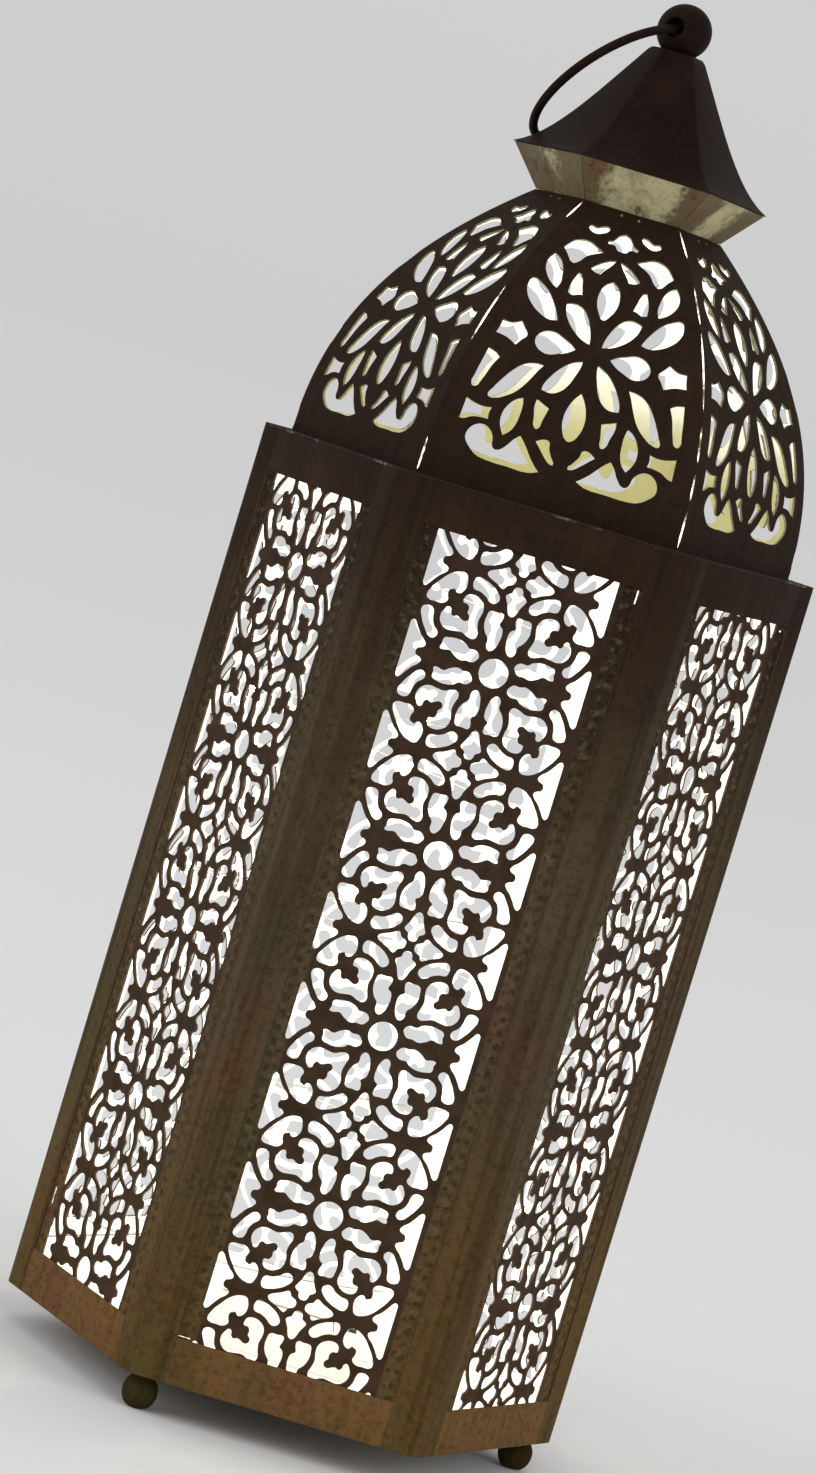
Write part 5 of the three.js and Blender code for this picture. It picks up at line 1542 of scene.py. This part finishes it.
class LANTERN_OT_door(bpy.types.Operator):
    """Makes the door's hinges, knob and turn latch"""

    bl_idname = "lantern.door"
    bl_label = "Door fittings"

    def execute(self, context):
        body, pattern, door = (getattr(context.scene, f"lantern_{n}") for n in ("body", "pattern", "door"))
        place = turned(FACES[DOOR_FACE])
        face = body.corner_radius * FLAT
        hinge_x = body.corner_radius / 2 - body.post_flange
        back = -face - body.seat_gap
        bottom, top = pattern.window_bottom + door.gap, pattern.window_top - door.gap
        for name, middle in (("upper", top - door.hinge_end), ("lower", bottom + door.hinge_end)):
            low = middle - door.hinge_height / 2
            bm = hinge_leaf(door, 1, hinge_x, back, low, (0, 2), body.seat_gap)
            node_name = f"post_hinge_leaf_{name}"
            finished(bm, f"post_leaf_{name}", ["hardware"], "lantern", [node_name], place)
            bm = hinge_leaf(door, -1, hinge_x, back, low, (1,), body.seat_gap)
            node_name = f"door_hinge_leaf_{name}"
            finished(bm, f"door_leaf_{name}", ["hardware"], "door", [node_name], place)
            high = low + door.hinge_height
            soft = door.pin * 0.35
            line = [(0, low), (door.pin - soft, low), (door.pin, low + soft), (door.pin, high - soft),
                    (door.pin - soft, high), (0, high)]
            bm = spun([(r, 0, z) for r, z in line], 20)
            shifted(bm, (hinge_x, back - door.barrel, 0))
            finished(bm, f"pin_{name}", ["hardware"], "lantern", [f"hinge_pin_{name}"], place)
        self.knob(body, door, place, hinge_x, face, (bottom + top) / 2)
        self.latch(body, door, place, hinge_x, face, (bottom + top) / 2)
        return {"FINISHED"}

    def knob(self, body, door, place, window_half, face, middle):
        """Turns the knob and sets it on the door's frame."""
        shares = [(0.75, 0), (0.78, 0.05), (0.72, 0.11), (0.42, 0.19), (0.38, 0.3), (0.5, 0.42), (0.85, 0.55),
                  (1, 0.73), (0.88, 0.88), (0.5, 0.97), (0.0, 1.0)]
        line = rounded_line([(r * door.knob_radius, z * door.knob_length) for r, z in shares], 3)
        line = [(max(r, 0.0), min(max(z, 0.0), door.knob_length)) for r, z in line]
        bm = spun([(0, 0, 0), *[(r, 0, z) for r, z in line]], 28)
        faced(bm)
        x = -(window_half - door.gap) + door.strip / 2
        shifted(bm, (x, -face - body.seat_gap, middle - door.knob_drop))
        finished(bm, "knob", ["hardware"], "door", ["door_knob"], place)

    def latch(self, body, door, place, window_half, face, middle):
        """Makes the latch, and the pin it turns on through the post."""
        back = -face - door.latch_lift
        front = back - door.latch_sheet
        x = -(window_half + body.post_flange / 2)
        radius = door.latch_width / 2
        bm = bmesh.new()
        bmesh.ops.create_cube(bm, size=1)
        bmesh.ops.scale(bm, vec=(door.latch_width, door.latch_sheet, door.latch_length), verts=bm.verts)
        through = [e for e in bm.edges if abs(e.verts[0].co.y - e.verts[1].co.y) > 0.5 * door.latch_sheet]
        bevelled(bm, through, radius * 0.98, 8)
        bevelled(bm, hard_edges(bm, 60), 0.2 * MM)
        centre = (x, (front + back) / 2, middle + radius - door.latch_length / 2)
        shifted(bm, centre)
        finished(bm, "latch", ["hardware"], "latch", ["door_latch"], place)
        seat, end = body.seat_gap - front, face + body.seat_gap
        wide, tall = door.latch_head, door.head_height
        crown = [(0, seat + tall), (wide * 0.5, seat + tall * 0.92), (wide * 0.85, seat + tall * 0.6)]
        under = [(wide, seat + 0.15 * MM), (wide * 0.97, seat), (door.latch_pin, seat)]
        line = [*crown, *under, (door.latch_pin, end), (0, end)]
        bm = spun([(r, 0, z) for r, z in line], 24)
        faced(bm)
        shifted(bm, (x, 0, middle))
        finished(bm, "latch_rivet", ["hardware"], "lantern", ["latch_pin"], place)


# Battery box and lamp string


class LANTERN_OT_battery(bpy.types.Operator):
    """Rounds the battery box, its lid and switch, and turns the cells"""

    bl_idname = "lantern.battery"
    bl_label = "Battery box"

    def execute(self, context):
        softened("battery_box", "white_plastic", 0.5 * MM, segments=3)
        softened("battery_lid", "white_plastic", 0.25 * MM, "lid")
        softened("switch_slider", "dark_plastic", 0.5 * MM, "switch", 3)
        for number in (1, 2):
            name = f"battery_cell_{number}"
            low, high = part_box(name)
            radius, length_now = (high.z - low.z) / 2, high.x - low.x
            tip, tip_length, soft = 2.7 * MM, 1.2 * MM, 0.5 * MM
            body_end = length_now - tip_length
            dent = 0.3 * MM
            line = [(0, dent), (radius * 0.72, dent), (radius * 0.78, 0), (radius - soft, 0), (radius, soft),
                    (radius, body_end - soft), (radius - soft, body_end), (radius * 0.6, body_end),
                    (tip, body_end - 0.1 * MM), (tip, length_now - dent), (tip - dent, length_now),
                    (0, length_now)]
            bm = spun([(r, 0, z) for r, z in line], 40)
            turn = Matrix.Rotation(math.pi / 2 if number == 1 else -math.pi / 2, 3, "Y")
            bmesh.ops.rotate(bm, verts=bm.verts, matrix=turn)
            start = (low.x if number == 1 else high.x, (low.y + high.y) / 2, (low.z + high.z) / 2)
            shifted(bm, start)
            finished(bm, f"cell_{number}", ["cell_sleeve"], "lantern", [name])
        return {"FINISHED"}


def lead_point(s, share):
    """A point of the lead from the box to the panels."""
    eased = share * share * (3 - 2 * share)
    radius = s.lead_start + s.lead_straight + (s.radius - s.lead_start - s.lead_straight) * eased
    height = s.lead_height + (s.start_height - s.lead_height) * eased
    turn = s.lead_turn * share
    return Vector((radius * math.cos(turn), radius * math.sin(turn), height))


def turn_point(s, run, inset=0.0):
    """A point of the turns, at a run along the wire from the first lamp."""
    turns = run / math.hypot(math.tau * s.radius, s.rise)
    turn = s.lead_turn + math.tau * turns
    radius = s.radius - inset
    return Vector((radius * math.cos(turn), radius * math.sin(turn), s.start_height + s.rise * turns))


class LANTERN_OT_string(bpy.types.Operator):
    """Winds the wire inside the panels and sets a bead and a lamp at each place"""

    bl_idname = "lantern.string"
    bl_label = "Lamp string"

    def execute(self, context):
        s = context.scene.lantern_string
        points = [Vector((s.lead_start, 0, s.lead_height))]
        points += [lead_point(s, i / 24) for i in range(24)]
        last = (s.lamps - 1) * s.spacing
        steps = (s.lamps - 1) * 6
        points += [turn_point(s, last * i / steps) for i in range(steps + 1)]
        curve = bpy.data.curves.new("string_wire", "CURVE")
        curve.dimensions, curve.bevel_depth, curve.bevel_resolution = "3D", s.wire, 1
        curve.use_fill_caps = True
        curve.resolution_u = 2
        spline = curve.splines.new("BEZIER")
        spline.bezier_points.add(len(points) - 1)
        for point, place in zip(spline.bezier_points, points):
            point.co = place
            point.handle_left_type = point.handle_right_type = "AUTO"
        curve.materials.append(finish("string_wire"))
        wire = bpy.data.objects.new("string_wire", curve)
        context.scene.collection.objects.link(wire)
        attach(wire, "lantern")
        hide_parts("lamp_string")
        beads, lamps = bmesh.new(), bmesh.new()
        for i in range(s.lamps):
            middle = turn_point(s, i * s.spacing, s.bead - s.wire)
            ahead = (turn_point(s, i * s.spacing + MM) - turn_point(s, i * s.spacing - MM)).normalized()
            place = Matrix.Translation(middle) @ ahead.to_track_quat("Z", "Y").to_matrix().to_4x4()
            long = Matrix.Diagonal((1, 1, s.bead_length / 2 / s.bead, 1))
            bmesh.ops.create_uvsphere(beads, u_segments=14, v_segments=10, radius=s.bead, matrix=place @ long)
            bmesh.ops.create_icosphere(lamps, subdivisions=2, radius=s.chip, matrix=place)
        bead_piece = finished(beads, "string_beads", ["clear_bead"], sharp=60)
        lamp_piece = finished(lamps, "string_lamps", ["lamp_glow"], sharp=60)
        return {"FINISHED"}


# Stage


# Name, place, size and watts of each studio light, and the point they look at
STUDIO_LIGHTS = (("key", (-4.6, -2.2, 2.4), 3.0, 75), ("fill", (4.6, -2.4, 1.8), 3.2, 54))
LIGHT_AIM = (0, 0, 0.25)
# Heights and colour of the lights inside the lantern
GLOW_HEIGHTS = (0.12, 0.24, 0.36)
GLOW_COLOUR = (1.0, 0.95, 0.84)


def area_light(name, place, size, power):
    """A square white light that the camera doesn't see."""
    light = bpy.data.lights.new(name, "AREA")
    light.shape, light.size, light.energy = "SQUARE", size, power
    lamp = bpy.data.objects.new(name, light)
    lamp.location = place
    lamp.rotation_euler = (Vector(LIGHT_AIM) - Vector(place)).to_track_quat("-Z", "Y").to_euler()
    lamp.visible_camera = False
    bpy.context.scene.collection.objects.link(lamp)


class LANTERN_OT_stage(bpy.types.Operator):
    """Sets the camera, the lights, the floor and the studio around it"""

    bl_idname = "lantern.stage"
    bl_label = "Stage"

    def execute(self, context):
        s = context.scene.lantern_stage
        data = bpy.data.cameras.new("camera")
        data.lens, data.sensor_fit, data.sensor_width = s.lens, "AUTO", 36
        data.clip_start, data.clip_end = 0.05, 60
        context.scene.view_settings.view_transform = "Standard"
        camera = bpy.data.objects.new("camera", data)
        aim = Matrix.Rotation(s.pan, 4, "Z") @ Matrix.Rotation(s.tilt, 4, "X")
        aim = aim @ Matrix.Rotation(s.roll, 4, "Y")
        level = Matrix.Rotation(math.pi / 2, 4, "X")
        camera.matrix_world = Matrix.Translation((s.camera_x, s.camera_y, s.camera_z)) @ aim @ level
        context.scene.collection.objects.link(camera)
        context.scene.camera = camera
        self.floor(s)
        for light in STUDIO_LIGHTS:
            area_light(*light)
        context.scene.world = self.studio(s)
        for height in GLOW_HEIGHTS:
            lamp = bpy.data.lights.new(f"glow_{height}", "POINT")
            lamp.energy, lamp.color, lamp.shadow_soft_size = s.glow, GLOW_COLOUR, 0.02
            glow = bpy.data.objects.new(f"glow_{height}", lamp)
            glow.location = (0, 0, height)
            context.scene.collection.objects.link(glow)
        return {"FINISHED"}

    def studio(self, s):
        """Soft white walls all round, brighter overhead, that meet the far floor in its own tone."""
        world = bpy.data.worlds.new("studio")
        world.use_nodes = True
        tree = world.node_tree
        direction = node(tree, "ShaderNodeTexCoord", output="Object")
        rise = node(tree, "ShaderNodeSeparateXYZ", values={"Vector": direction}, output="Z")
        tone = mixed(tree, rise.math("MAXIMUM", rise, 0.0), (s.wall,) * 3, (s.ceiling,) * 3)
        background = tree.nodes["Background"]
        background.inputs["Strength"].default_value = 1.0
        tree.links.new(tone.socket, background.inputs["Color"])
        return world

    def floor(self, s):
        """A plain round floor that reaches to the studio's walls."""
        bm = bmesh.new()
        bmesh.ops.create_circle(bm, cap_ends=True, segments=96, radius=s.floor_radius)
        mesh = bpy.data.meshes.new("floor")
        bm.to_mesh(mesh)
        bm.free()
        mesh.materials.append(finish("floor_paper"))
        floor = bpy.data.objects.new("floor", mesh)
        bpy.context.scene.collection.objects.link(floor)
        return floor


class LANTERN_PT_make(bpy.types.Panel):
    """Lists the lantern's pieces and sizes in the sidebar"""

    bl_idname = "LANTERN_PT_make"
    bl_label = "Pierced lantern"
    bl_space_type = "VIEW_3D"
    bl_region_type = "UI"
    bl_category = "Lantern"

    def draw(self, context):
        for operator in OPERATORS:
            self.layout.operator(operator.bl_idname)
        for name, group in GROUPS.items():
            box = self.layout.box()
            box.label(text=group.__doc__.strip("."))
            for key in group.__annotations__:
                box.prop(getattr(context.scene, name), key)


OPERATORS = (
    LANTERN_OT_stage,
    LANTERN_OT_posts,
    LANTERN_OT_rails,
    LANTERN_OT_rim,
    LANTERN_OT_feet,
    LANTERN_OT_panels,
    LANTERN_OT_dome,
    LANTERN_OT_cap,
    LANTERN_OT_finial,
    LANTERN_OT_door,
    LANTERN_OT_battery,
    LANTERN_OT_string,
)
CLASSES = (*GROUPS.values(), *OPERATORS, LANTERN_PT_make)


def register():
    for item in CLASSES:
        bpy.utils.register_class(item)
    for name, group in GROUPS.items():
        setattr(bpy.types.Scene, name, bpy.props.PointerProperty(type=group))


def unregister():
    for name in GROUPS:
        delattr(bpy.types.Scene, name)
    for item in reversed(CLASSES):
        bpy.utils.unregister_class(item)


def main():
    register()
    bpy.ops.lantern.stage()
    bpy.ops.lantern.string()
    bpy.ops.lantern.posts()
    bpy.ops.lantern.rails()
    bpy.ops.lantern.rim()
    bpy.ops.lantern.feet()
    bpy.ops.lantern.panels()
    bpy.ops.lantern.dome()
    bpy.ops.lantern.cap()
    bpy.ops.lantern.finial()
    bpy.ops.lantern.door()
    bpy.ops.lantern.battery()
    bpy.context.view_layer.update()


if __name__ == "__main__":
    main()
